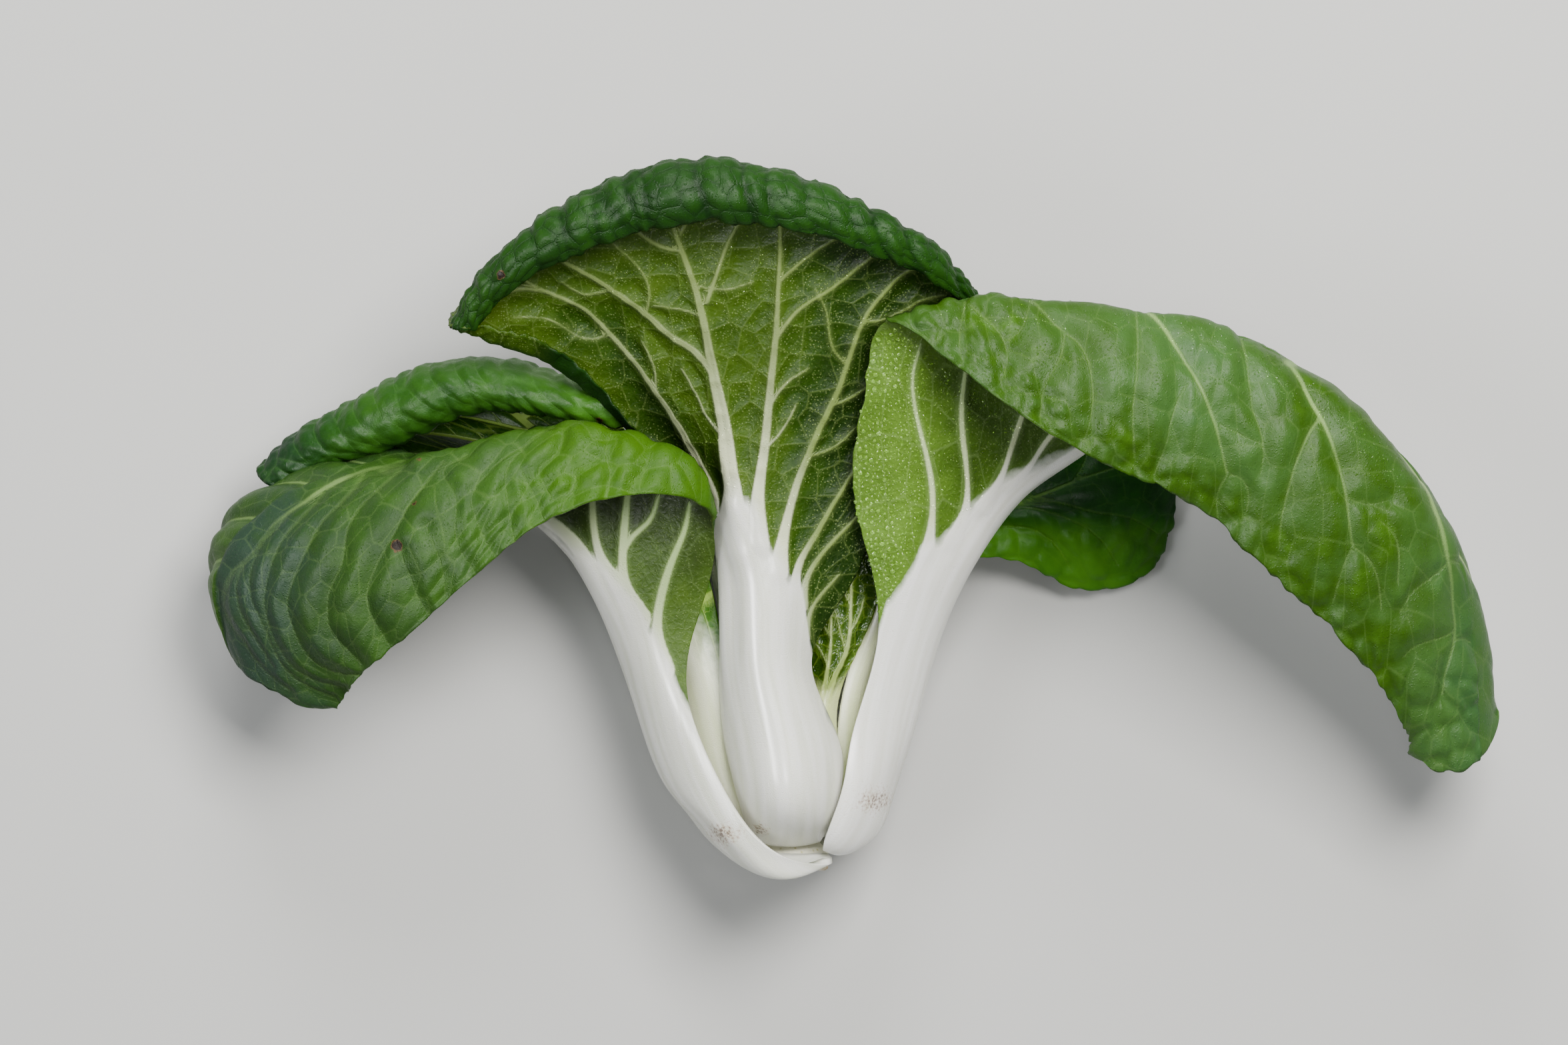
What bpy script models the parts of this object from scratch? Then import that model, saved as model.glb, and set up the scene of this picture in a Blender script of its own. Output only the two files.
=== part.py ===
"""A head of white-stemmed bok choy, cut from its root and laid on its back.

Every leaf is one closed blade of its own. It is laid out as rows of points on its outer face,
one row for each station from its foot to its margin, and each column of the rows is a rib that
runs up the leaf. Points are in millimetres in the head's frame: X across, Y from the cut stem to
the leaf tips, Z up from the surface that it lies on. Seen from outside the head with the foot
down, a row runs from left to right, so across turned onto up points outwards.
"""

import math

import bpy
import numpy as np

MM = 0.001

# Driving sizes of the head, mm.
HEAD_MIDDLE = (17.4, 92.0)  # middle of the head's box across and along
STEM_AXIS = (1.0, 27.0)  # X and Z of the short stem that every leaf grows from
STEM_RADIUS = 10.0
STEM_CUT_Y = 2.0
STEM_TOP_Y = 12.2
BLADE_THICK = 0.9
MARGIN_THICK = 1.3  # the stalk's two side edges
FOOT_SHARE = 0.42  # the stalk's thickness where it meets the stem, as a share of its full one
RIB_WIDTH = 0.16  # half width of the midrib's ridge, as a share of the half leaf
RIB_SHARE = 0.35  # and its height, as a share of the stalk's thickness
VEIN_SLANT = 0.8  # how far the side veins lean towards the tip, in pitches
STALK_STEP = 13.0  # spacing of the mesh up a stalk
BLADE_STEP = 8.6  # and over a blade
CURL_STEP_DEG = 30.0  # and round a rolled margin

# The front leaf: its outer face is seen whole, and its top margin is rolled over forward.
# Columns: turned-back left edge, its fold, then four main ribs with the middle one fifth, right edge.
FRONT_ROWS = [
    [(-9.3, 10.8, 35.3), (-8.2, 10.1, 37), (-5.5, 9.3, 38.5), (-3, 8.8, 39.8),
     (0, 8.6, 40.3), (3, 8.6, 39.9), (6.5, 9, 38), (9.3, 9.6, 35)],
    [(-11, 18, 42), (-10, 17.5, 45), (-7.5, 17, 49.5), (-4, 17, 53.5),
     (0.5, 17, 55.5), (5, 17, 54.5), (9.5, 17, 50.5), (13, 17.5, 44)],
    [(-14.7, 32, 42), (-13.8, 32, 45), (-11, 32, 50.5), (-6.5, 32, 55.5),
     (-0.5, 32, 58), (5, 32, 56.5), (10.5, 32, 51.5), (15, 32, 43)],
    [(-16.7, 56, 43), (-16.2, 56, 45.5), (-13.5, 56, 50), (-10, 56, 54),
     (-5.5, 56, 56.5), (-1, 56, 55), (3.5, 56, 51.5), (7, 56, 45.5)],
    [(-17.2, 79, 44), (-16.8, 79, 46.5), (-14, 79, 51), (-10.5, 78.5, 54.5),
     (-6, 78, 56.5), (-1.5, 78, 56), (4.5, 77.5, 53.5), (17.5, 76, 47.5)],
    [(-21.5, 96, 47), (-20.5, 97, 46), (-18.5, 97, 49.5), (-15.8, 97, 53),
     (-12.8, 97, 56.5), (-7, 98, 58), (2.5, 97.5, 57.5), (25, 95, 51)],
    [(-35.3, 116, 56), (-38.3, 116.5, 51.5), (-29.5, 119, 56), (-23, 119.5, 59),
     (-15.8, 120, 62), (-4, 120, 63.5), (11.5, 120, 63), (34, 116, 54)],
    [(-58.5, 137.5, 69), (-60.5, 134, 64), (-50, 145, 66), (-36, 145, 68),
     (-20, 144, 71), (-2, 144, 73), (20.5, 142.5, 72), (46, 133, 58)],
    [(-78.3, 141.2, 76), (-81.2, 139.2, 71), (-76.3, 151, 74), (-60.5, 163.6, 78),
     (-29, 175.5, 81), (0, 173.8, 83), (30.2, 160.9, 77), (47.5, 147, 62)],
]
FRONT_CURL_RADII = (1.5, 1.8, 3.6, 5.8, 7.8, 6.8, 4.3, 1.5)

# The left leaf: its foot wraps under the front leaf, and its blade arches over to the left.
# Columns: far margin, far half, midrib, near half, crest of the near half, near margin.
LEFT_ROWS = [
    [(-12, 8, 22.5), (-12.8, 7, 27.5), (-10, 6, 34), (-3, 5, 40.5), (5, 5, 40.5), (11, 5.5, 37.5)],
    [(-18.5, 13, 20), (-18.7, 10, 27), (-15, 6.5, 38), (-6, 1.5, 47), (4, 1, 47), (12, 4.2, 41)],
    [(-23, 18, 18.5), (-24, 15.5, 26.5), (-21, 13, 38), (-14, 9, 49), (-6, 5.5, 52), (0, 6.2, 51)],
    [(-27.5, 28, 17.5), (-30.5, 26, 24.5), (-30.5, 24, 33),
     (-26, 23, 43), (-20, 23, 49), (-16, 24, 51)],
    [(-34, 47, 18.5), (-38, 46, 24.5), (-38.5, 45, 32), (-34, 44.5, 41), (-28, 44, 46), (-24, 44, 47)],
    [(-40, 64, 19), (-44, 63, 25.5), (-44.3, 62, 34), (-38, 62, 42), (-31, 62, 45), (-24, 60, 45)],
    [(-36, 88, 12), (-50, 83, 22), (-53, 80, 37), (-38, 81, 47), (-24, 82, 51), (-17.5, 84, 52)],
    [(-44, 98, 8), (-60, 92, 22), (-62, 91, 38), (-42, 99, 49), (-24, 104, 59.5), (-24, 96.5, 63)],
    [(-58, 98, 6), (-72, 99, 22), (-74, 101, 40), (-58, 105, 49), (-38, 112, 63), (-42, 97.5, 69)],
    [(-76, 94, 3), (-89, 107, 30), (-88, 105, 44), (-72, 109.5, 54), (-55, 113, 64), (-60, 91, 70)],
    [(-98, 92, 0.3), (-106, 108.6, 31), (-102, 103.5, 49), (-88, 107, 59), (-78, 96, 68), (-80, 76, 68)],
    [(-122, 88, 6), (-124, 102.8, 35), (-118, 97.5, 50), (-106, 95, 60), (-98, 80, 66), (-96, 62, 62)],
    [(-139, 80, 14), (-141, 93, 32), (-132, 87, 47), (-121, 79, 56), (-112, 65, 58), (-107, 53, 54)],
    [(-143.8, 71, 19), (-145.8, 77, 30), (-141.5, 72.5, 41),
     (-129, 62, 48), (-118, 54, 49), (-111, 48.5, 46)],
    [(-140.5, 69, 23), (-141.6, 62.5, 29.5), (-137.6, 54.4, 35),
     (-129.6, 48.8, 39), (-121.5, 45.2, 40), (-114.5, 45.4, 40)],
]

# The right leaf, the largest blade: near margin, crest, near half, midrib, far half, far margin.
RIGHT_ROWS = [
    [(11.6, 7.9, 36), (12.6, 7, 34.8), (13.3, 6.8, 32.5),
     (14.2, 7, 29.5), (14.3, 7.5, 26), (13.6, 8.2, 23)],
    [(9.9, 8.4, 45), (14.2, 7.2, 43.5), (19.5, 8, 38),
     (22.5, 10, 31.5), (22.3, 11.5, 25.5), (20.8, 13, 20.5)],
    [(14.3, 21, 50), (18.5, 20.5, 48.5), (24.5, 20.5, 41.5), (28, 21, 31), (28, 22, 24), (26, 23, 19)],
    [(17.2, 36, 48.5), (21.5, 36, 47.3), (28.5, 36.5, 41.5),
     (33, 37, 32.5), (33, 38, 26), (31, 39, 21)],
    [(24, 62, 49.5), (28, 62, 48.5), (35.5, 62, 43.5), (40, 62, 35.5), (40.5, 63, 29), (38.5, 64, 24)],
    [(21, 84, 55.5), (30, 83, 54), (41.5, 82, 48.5), (49, 82, 40), (49.5, 83, 32), (46.5, 85.5, 26)],
    [(17, 103, 61.5), (30, 102, 60), (46, 98, 53.5), (60, 98, 43), (61.5, 99.5, 34), (57, 104, 26.5)],
    [(20, 126, 70.5), (33, 124, 68.5), (52, 117, 60), (75, 109, 47), (77, 112, 36), (71, 117, 27)],
    [(27, 141, 78.5), (37, 143, 77), (60, 136, 65), (90, 123, 52), (92, 126, 39), (86, 129, 28)],
    [(48, 125.5, 85), (50, 144.8, 79), (72, 142.3, 69), (99, 130, 55), (103, 133, 40), (98, 133, 27)],
    [(72, 110.5, 82), (74, 131, 83), (88, 144, 73), (110, 134.5, 59), (115, 134, 43), (110, 130, 28)],
    [(100, 97.5, 74), (107, 117, 79), (116, 134.5, 73), (126, 131, 62), (132, 127, 46), (128, 118, 30)],
    [(125, 77, 66), (133, 96, 73), (142, 115, 70), (150, 112.5, 62), (157, 107, 48), (155, 98, 32)],
    [(146, 57, 57), (153.5, 72, 64), (160, 86, 64), (167, 87, 59), (172.5, 82, 49), (173, 75, 34)],
    [(157, 41.5, 47), (161.5, 51, 53), (166, 61, 54),
     (171.5, 62.5, 51), (178.5, 60, 43), (179.5, 54, 33)],
    [(161.5, 34.5, 41), (165.5, 29.5, 42), (170, 27.8, 42),
     (174.5, 29.5, 41), (179.5, 34, 38), (182, 42, 34)],
]

# The inner left leaf: its stalk stands in the left gap, and its rolled top shows over the left leaf.
INNER_LEFT_ROWS = [
    [(-5, 11, 18.5), (-8, 10.5, 22), (-9.6, 10.3, 26.5),
     (-9, 10.2, 31), (-6.2, 10.4, 33.9), (-2.8, 10.4, 36.1)],
    [(-11, 22, 15.5), (-16, 21, 21.5), (-18.3, 20.5, 28.5),
     (-16.5, 20, 34), (-13, 20, 37.3), (-9, 19.5, 38.8)],
    [(-17, 43, 18), (-23, 42, 23.5), (-25, 41, 30.5),
     (-22.5, 40, 36), (-18.5, 40, 39.2), (-13.5, 40, 40.5)],
    [(-22, 66, 17.5), (-29, 65, 23), (-31.5, 64, 30),
     (-28.5, 63, 36), (-23.5, 62, 39.8), (-16, 61, 41.8)],
    [(-31, 91, 15), (-40, 89, 20.5), (-43, 87, 27.5),
     (-38.5, 86, 33.5), (-30.5, 86, 37.5), (-22, 86, 39.5)],
    [(-57, 106, 13), (-61, 104, 21), (-59, 103, 28.5),
     (-51, 103.5, 34.5), (-40.5, 104, 38), (-31, 103, 40)],
    [(-97, 108, 13), (-96, 114, 21.5), (-85, 117.5, 29),
     (-67, 118, 36), (-50.5, 117, 39.5), (-38.5, 112.5, 41)],
    [(-131.5, 107, 23), (-119, 117, 28), (-102, 124, 33),
     (-81, 129.3, 38), (-60, 127.6, 41), (-44, 119.5, 41)],
]
INNER_LEFT_CURL_RADII = (2.6, 4.8, 7.8, 9.0, 8.3, 3.0)

# The back right leaf droops behind the right leaf's stalk, down to the surface.
BACK_RIGHT_ROWS = [
    [(10.8, 10.5, 22.4), (9.2, 10.5, 19.9), (6.9, 10.5, 17.9),
     (4.2, 10.5, 16.7), (1.4, 10.5, 16.2), (-0.9, 10.5, 16.4)],
    [(16.9, 21, 19.6), (14.2, 21, 15.5), (10.5, 21, 12.3),
     (6.1, 21, 10.3), (1.6, 21, 9.5), (-1.4, 21, 9.7)],
    [(22, 41, 23), (21.5, 41, 18), (19, 41, 14.3), (15, 41, 12.2), (10.5, 41, 11.2), (6.5, 41, 11.2)],
    [(28.5, 63, 22.5), (29.5, 64.5, 18), (28.5, 66, 14),
     (25.5, 68, 12), (21.5, 69.5, 11), (17, 70.5, 11)],
    [(45, 80, 20), (45, 84, 17), (43, 88, 14.5), (39, 92, 13.3), (34, 95.5, 13), (28, 98, 14)],
    [(62, 81, 13), (62, 88, 15.5), (60, 95, 16.5), (56, 102, 16), (50, 108, 15), (43, 112.5, 14)],
    [(79, 74.5, 5), (80, 84, 10.5), (79, 95, 14.5), (76, 106, 16), (70, 115, 14.5), (62, 121, 11)],
    [(94, 79, 1.5), (94, 88, 6), (93, 99, 10), (90, 110, 11.5), (84, 119, 10), (76, 125, 6)],
    [(98.5, 88, -0.2), (100, 94, 2.5), (101, 101, 4.5),
     (99, 108.5, 5), (95, 115.5, 3.5), (89, 121.5, 1)],
]

# The back leaf, which the head lies on: its stalk's belly and its rolled top carry the weight.
BACK_ROWS = [
    [(11, 6.5, 18.6), (6.5, 6.5, 15.2), (1, 6.5, 14), (-4.5, 6.5, 15.2), (-9, 6.5, 18.6)],
    [(17.2, 13, 14.4), (11, 11, 7), (1, 10, 3.5), (-9.5, 11, 7), (-16, 13, 14.4)],
    [(22, 26, 12.5), (13, 26, 2.6), (1, 26, -1.2), (-11.5, 26, 2.6), (-20.5, 26, 12.5)],
    [(17, 50, 8), (9.5, 50, 2.2), (0, 50, -0.6), (-9.5, 50, 2.2), (-17, 50, 8)],
    [(17, 75, 6.5), (9, 75, 4), (0, 75, 3.3), (-9, 75, 4), (-17.5, 75, 6.5)],
    [(32, 95, 8), (16, 99, 8.5), (-1, 100, 9), (-18, 99, 8.5), (-32, 95, 8)],
    [(47, 117, 6.5), (24, 124, 8.5), (-2, 127, 10.5), (-24, 124, 8.5), (-37, 117, 6.5)],
    [(52, 131, 5), (28, 145, 9.3), (-2, 150, 12), (-27, 145, 9.3), (-42, 132, 5)],
]
BACK_CURL_RADII = (2.0, 4.4, 5.6, 4.4, 2.0)

# Four small leaves of the heart.
HEART_FRONT_ROWS = [
    [(2.4, 12.5, 34.9), (4.5, 12.5, 34.2), (6.4, 12.5, 32.9), (7.9, 12.5, 31)],
    [(5, 27, 39), (8, 27, 40.5), (11.5, 27, 39.8), (14, 27, 37)],
    [(7.5, 45, 39), (9.7, 45, 40.3), (12, 45, 40), (13.8, 45, 38.2)],
    [(5, 60, 38.5), (10, 60, 41), (15, 60, 42), (20, 61, 40.5)],
    [(2, 80, 38.5), (10, 80, 42.5), (18, 78, 43.5), (25, 75, 41.5)],
    [(-1, 100, 40), (9, 104, 45), (19, 103, 46.5), (28, 96, 43)],
]
HEART_RIGHT_ROWS = [
    [(8.5, 12.5, 29.6), (8.9, 12.5, 28.2), (9, 12.5, 26.5), (8.8, 12.5, 25)],
    [(12.5, 26, 34), (16, 26, 33.5), (18.5, 26, 30), (18.3, 26, 25)],
    [(14.5, 45, 36.5), (18.5, 45, 36), (21, 46, 32.5), (20.5, 47, 27)],
    [(20, 68, 37), (25.5, 68, 37.5), (29.5, 69, 34), (29.5, 70, 28)],
    [(20, 92, 38), (30, 92, 39.5), (38, 93, 36), (41, 95, 29)],
    [(22, 116, 43), (34, 118, 45), (45, 117, 41), (51, 114, 33)],
    [(27, 131, 48), (36, 135, 50), (46, 135, 45), (54, 131, 36)],
]
HEART_LEFT_ROWS = [
    [(-4.6, 13.5, 23.8), (-5.5, 13.5, 26.4), (-4.9, 13.5, 29.7), (-2.7, 13.5, 32.3)],
    [(-9, 40, 22.5), (-13, 40, 27), (-12, 40, 32.5), (-6.5, 40, 36.5)],
    [(-11, 70, 24), (-17, 70, 28.5), (-15, 70, 34.5), (-6, 70, 38.5)],
    [(-14, 95, 25), (-23, 96, 30), (-19, 97, 38), (-6, 97, 42)],
    [(-13, 111, 26), (-27, 114, 32), (-22, 117, 40.5), (-6, 116, 45)],
]
HEART_BACK_ROWS = [
    [(6.6, 13.5, 23.8), (4.7, 13.5, 21.7), (2.1, 13.5, 20.6), (-0.4, 13.5, 20.7)],
    [(12, 40, 25), (8, 40, 20), (1, 40, 17.8), (-5, 41, 19)],
    [(17, 75, 27), (10, 75, 22.5), (0, 75, 20), (-9, 75, 21)],
    [(24, 102, 31), (12, 107, 26.5), (-3, 108, 24), (-14, 104, 22.5)],
]


def spline(knots, values, at):
    """A natural cubic through values, one for each knot, read at the parameters in at."""
    count = len(knots)
    flat = values.reshape(count, -1)
    gap = np.diff(knots)[:, None]
    slope = np.diff(flat, axis=0) / gap
    system = np.eye(count)
    pull = np.zeros_like(flat)
    for i in range(1, count - 1):
        system[i, i - 1:i + 2] = gap[i - 1, 0], 2 * (gap[i - 1, 0] + gap[i, 0]), gap[i, 0]
        pull[i] = 6 * (slope[i] - slope[i - 1])
    bend = np.linalg.solve(system, pull)
    i = np.clip(np.searchsorted(knots, at, side="right") - 1, 0, count - 2)
    h = gap[i]
    t = (np.asarray(at) - knots[i])[:, None] / h
    curve = ((1 - t) ** 3 - (1 - t)) * bend[i] + (t ** 3 - t) * bend[i + 1]
    read = (1 - t) * flat[i] + t * flat[i + 1] + h * h / 6 * curve
    return read.reshape((len(at),) + values.shape[1:])


def knots_along(points, axis):
    """Distances from the first to each next point along an axis, averaged over the other one."""
    lengths = np.linalg.norm(np.diff(points, axis=axis), axis=2).mean(axis=1 - axis)
    return np.concatenate([[0], np.cumsum(lengths)])


def subdivided(knots, spans, step):
    """Parameters from the first knot to the last, with every knot kept and gaps of about a step."""
    pieces = [np.linspace(a, b, max(1, round(span / size)), endpoint=False)
              for a, b, span, size in zip(knots[:-1], knots[1:], spans, step)]
    return np.concatenate(pieces + [knots[-1:]])


def unit(vectors):
    return vectors / np.linalg.norm(vectors, axis=-1, keepdims=True)


def smooth_step(value, start, end):
    t = np.clip((value - start) / (end - start), 0, 1)
    return t * t * (3 - 2 * t)


def curl_rows(grid, across, knots, radii, turn_deg):
    """Rows that carry the blade on past its last row, rolled up towards its outer face."""
    heading = unit(grid[-1] - grid[-2])
    sideways = np.gradient(grid[-1], axis=0)
    outward = unit(np.cross(sideways, heading))
    radius = spline(knots, np.array(radii, float)[:, None], across)
    steps = round(turn_deg / CURL_STEP_DEG)
    rows = []
    for k in range(1, steps + 1):
        turn = math.radians(turn_deg) * k / steps
        rows.append(grid[-1] + radius * (math.sin(turn) * heading + (1 - math.cos(turn)) * outward))
    return np.array(rows)


def leaf(name, colour, rows, midrib, stalk, neck, curl=None, turn_deg=240.0, pillow=1.0,
         feather_pitch=None, blade_step=BLADE_STEP, rests=False):
    """One leaf as a closed blade.

    midrib is the column of the midrib, stalk the stalk's full thickness, and neck the two rows
    between which the stalk thins out to the blade. pillow is the height of the swellings between
    the veins. They lie between the ribs, or every feather_pitch along the blade where it is given.
    """
    net = np.array(rows, float)
    up_knots = knots_along(net, 0)
    side_knots = knots_along(net, 1)
    row_spans = np.linalg.norm(np.diff(net, axis=0), axis=2).max(axis=1)
    column_spans = np.linalg.norm(np.diff(net, axis=1), axis=2).max(axis=0)
    row_steps = [STALK_STEP if i < neck[0] else blade_step for i in range(len(net) - 1)]
    up = subdivided(up_knots, row_spans, row_steps)
    across = subdivided(side_knots, column_spans, [blade_step] * len(column_spans))
    grid = spline(up_knots, net, up)
    grid = spline(side_knots, grid.transpose(1, 0, 2), across).transpose(1, 0, 2)
    up_all = up
    if curl:
        rolled = curl_rows(grid, across, side_knots, curl, turn_deg)
        grid = np.concatenate([grid, rolled])
        up_all = np.concatenate([up, up[-1] + blade_step * np.arange(1, len(rolled) + 1)])

    normal = unit(np.cross(np.gradient(grid, axis=1), np.gradient(grid, axis=0)))
    blade = smooth_step(up_all, up_knots[neck[0]], up_knots[neck[1]])[:, None]
    foot = FOOT_SHARE + (1 - FOOT_SHARE) * smooth_step(up_all, 0, up_knots[2])[:, None]
    middle = side_knots[midrib]
    aside = np.where(across < middle, (middle - across) / middle,
                     (across - middle) / (side_knots[-1] - middle))
    crescent = np.sqrt(np.clip(1 - aside ** 2, 0, 1))
    stalk_thick = MARGIN_THICK + (stalk * foot - MARGIN_THICK) * crescent
    fading = 1 - smooth_step(up_all, up_knots[neck[1]], up_knots[-1])[:, None]
    rib = stalk * RIB_SHARE * np.exp(-(aside / RIB_WIDTH) ** 2) * fading
    thick = stalk_thick * (1 - blade) + (BLADE_THICK + rib) * blade

    if feather_pitch:
        veins = np.abs(np.sin(math.pi * (up_all[:, None] / feather_pitch + VEIN_SLANT * aside)))
        swelling = pillow * veins * np.sin(math.pi * aside)
    else:
        place = np.interp(across, side_knots, np.arange(len(side_knots)))
        swelling = pillow * np.abs(np.sin(math.pi * 2 * place))[None, :]
    outer = grid - normal * (swelling * blade)[:, :, None]
    inner = outer - normal * thick[:, :, None]
    if rests:
        lift = np.clip(-np.minimum(outer[:, :, 2], inner[:, :, 2]), 0, None)
        outer[:, :, 2] += lift
        inner[:, :, 2] += lift
    return blade_object(name, colour, outer, inner)


def blade_object(name, colour, outer, inner):
    """A closed mesh from two like grids of points, split alike on both faces."""
    height, width = outer.shape[:2]
    count = height * width
    index = np.arange(count).reshape(height, width)
    a, b, c, d = index[:-1, :-1], index[:-1, 1:], index[1:, 1:], index[1:, :-1]
    faces = [np.stack(t, axis=-1).reshape(-1, 3) for t in ((a, b, c), (a, c, d))]
    faces += [face[:, ::-1] + count for face in faces]
    border = np.concatenate([index[0, :-1], index[:-1, -1], index[-1, :0:-1], index[:0:-1, 0]])
    ahead = np.roll(border, -1)
    faces.append(np.stack([border, border + count, ahead + count], axis=-1))
    faces.append(np.stack([border, ahead + count, ahead], axis=-1))
    points = np.concatenate([outer.reshape(-1, 3), inner.reshape(-1, 3)])
    return solid(name, colour, points, np.concatenate(faces))


def solid(name, colour, points, faces):
    place = (points - [HEAD_MIDDLE[0], HEAD_MIDDLE[1], 0.0]) * MM
    mesh = bpy.data.meshes.new(name)
    mesh.from_pydata(place.tolist(), [], faces.tolist())
    mesh.shade_smooth()
    piece = bpy.data.objects.new(name, mesh)
    bpy.context.collection.objects.link(piece)
    material = bpy.data.materials.new(name)
    material.use_nodes = True
    shader = material.node_tree.nodes["Principled BSDF"]
    shader.inputs["Base Color"].default_value = (*colour, 1.0)
    shader.inputs["Roughness"].default_value = 0.42
    shader.inputs["Metallic"].default_value = 0.0
    mesh.materials.append(material)
    return piece


def stem():
    """The short stem: a knife-cut disc at the foot, and a shoulder that the leaves grow round."""
    profile = [(0.0, STEM_CUT_Y), (STEM_RADIUS - 0.8, STEM_CUT_Y), (STEM_RADIUS, STEM_CUT_Y + 0.8),
               (STEM_RADIUS, 6.5), (7.2, 9.0), (4.5, 11.3), (0.0, STEM_TOP_Y)]
    sides = 28
    points = [(STEM_AXIS[0], profile[0][1], STEM_AXIS[1])]
    for radius, y in profile[1:-1]:
        for k in range(sides):
            turn = 2 * math.pi * k / sides
            points.append((STEM_AXIS[0] + radius * math.sin(turn), y,
                           STEM_AXIS[1] + radius * math.cos(turn)))
    points.append((STEM_AXIS[0], profile[-1][1], STEM_AXIS[1]))
    faces = []
    last = len(points) - 1
    rings = len(profile) - 2
    for k in range(sides):
        ahead = (k + 1) % sides
        faces.append((0, 1 + ahead, 1 + k))
        for ring in range(rings - 1):
            low, high = 1 + ring * sides, 1 + (ring + 1) * sides
            faces.append((low + k, low + ahead, high + ahead))
            faces.append((low + k, high + ahead, high + k))
        top = 1 + (rings - 1) * sides
        faces.append((top + k, top + ahead, last))
    return solid("stem", (0.78, 0.76, 0.62), np.array(points, float), np.array(faces))


def main():
    for old in list(bpy.data.objects):
        bpy.data.objects.remove(old)
    stem()
    leaf("leaf_front", (0.20, 0.36, 0.07), FRONT_ROWS, 4, 8.0, (3, 6), FRONT_CURL_RADII, 222.0,
         pillow=0.9, blade_step=7.4)
    leaf("leaf_left", (0.13, 0.33, 0.05), LEFT_ROWS, 2, 7.0, (5, 8), pillow=1.5, feather_pitch=24.0,
         rests=True)
    leaf("leaf_right", (0.12, 0.30, 0.05), RIGHT_ROWS, 3, 7.0, (4, 8), pillow=1.5, feather_pitch=26.0)
    leaf("leaf_inner_left", (0.05, 0.21, 0.03), INNER_LEFT_ROWS, 3, 4.5, (3, 5),
         INNER_LEFT_CURL_RADII, 240.0)
    leaf("leaf_back_right", (0.07, 0.25, 0.04), BACK_RIGHT_ROWS, 2, 4.5, (3, 5), pillow=1.2,
         feather_pitch=24.0, rests=True)
    leaf("leaf_back", (0.10, 0.28, 0.05), BACK_ROWS, 2, 6.5, (3, 6), BACK_CURL_RADII, 200.0,
         rests=True)
    leaf("leaf_heart_front", (0.12, 0.33, 0.04), HEART_FRONT_ROWS, 2, 2.6, (2, 4), pillow=0.7)
    leaf("leaf_heart_right", (0.16, 0.36, 0.07), HEART_RIGHT_ROWS, 1, 3.4, (3, 5), pillow=0.7)
    leaf("leaf_heart_left", (0.20, 0.42, 0.08), HEART_LEFT_ROWS, 1, 3.0, (2, 3), pillow=0.7)
    leaf("leaf_heart_back", (0.20, 0.42, 0.08), HEART_BACK_ROWS, 1, 3.0, (1, 2), pillow=0.7)


main()
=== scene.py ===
"""A head of white-stemmed bok choy, cut and rinsed, laid on its back on a pale table.

Lengths are in millimetres in the head's own frame, as in the part: X across, Y from the cut stem
to the leaf tips, Z up from the table. Each mesh is moved to the frame's metres when it is made.
"""
import math
from types import SimpleNamespace

import bpy
import numpy as np
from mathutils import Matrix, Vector


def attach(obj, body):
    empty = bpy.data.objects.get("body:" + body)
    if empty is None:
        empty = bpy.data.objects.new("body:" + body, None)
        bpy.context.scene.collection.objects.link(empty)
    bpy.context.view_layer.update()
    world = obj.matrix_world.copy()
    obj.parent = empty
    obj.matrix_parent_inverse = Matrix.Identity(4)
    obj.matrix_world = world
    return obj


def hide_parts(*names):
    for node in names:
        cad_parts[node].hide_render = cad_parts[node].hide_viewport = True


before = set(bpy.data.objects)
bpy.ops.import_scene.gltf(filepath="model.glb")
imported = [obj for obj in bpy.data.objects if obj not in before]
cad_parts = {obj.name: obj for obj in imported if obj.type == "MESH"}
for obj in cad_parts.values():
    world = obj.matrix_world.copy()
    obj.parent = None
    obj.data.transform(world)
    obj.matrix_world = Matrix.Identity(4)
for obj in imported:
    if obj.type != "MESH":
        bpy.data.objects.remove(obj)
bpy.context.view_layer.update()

# The stem: the short root plate that all the leaves grow from, sliced off with a knife. It is
# solid and pithy, cream with a ring of woody strands, and the rim of the slice has dried brown.
MM = 0.001
HEAD_MIDDLE = (17.4, 92.0)
STEM_AXIS = (1.0, 27.0)
STEM_PROFILE = [(0.0, 2.5), (3.0, 2.4), (5.6, 2.15), (6.4, 2.25), (7.4, 2.0), (9.3, 2.05),
                (10.1, 2.7), (10.3, 4.2), (10.2, 6.2), (9.3, 7.9), (7.6, 9.4), (5.0, 11.2),
                (2.0, 12.3), (0.0, 12.5)]
STEM_SIDES = 96
STEM_LUMPS = (0.02, 0.012)
KNIFE_WAVE = 0.12
DRIED_RADII = (6.5, 9.5)
DRIED_DEPTHS = (5.0, 2.6)
PITH_BUMP = 0.0003


def srgb(code):
    """The linear colour of a six-digit screen colour."""
    parts = [int(code[i:i + 2], 16) / 255 for i in (0, 2, 4)]
    linear = [p / 12.92 if p <= 0.04045 else ((p + 0.055) / 1.055) ** 2.4 for p in parts]
    return (*linear, 1.0)


def smooth_step(value, start, end):
    """A smooth rise from 0 at the start to 1 at the end, on whichever side the end is."""
    t = np.clip((value - start) / (end - start), 0, 1)
    return t * t * (3 - 2 * t)


def solid(name, points, faces, material, node=None):
    """A piece from points in the head's millimetres, riding on the head."""
    place = (np.asarray(points, float) - [HEAD_MIDDLE[0], HEAD_MIDDLE[1], 0.0]) * MM
    mesh = bpy.data.meshes.new(name)
    mesh.from_pydata(place.tolist(), [], faces)
    mesh.shade_smooth()
    mesh.materials.append(material)
    piece = bpy.data.objects.new(name, mesh)
    bpy.context.scene.collection.objects.link(piece)
    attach(piece, "root")
    if node:
        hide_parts(node)
    return piece


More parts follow.
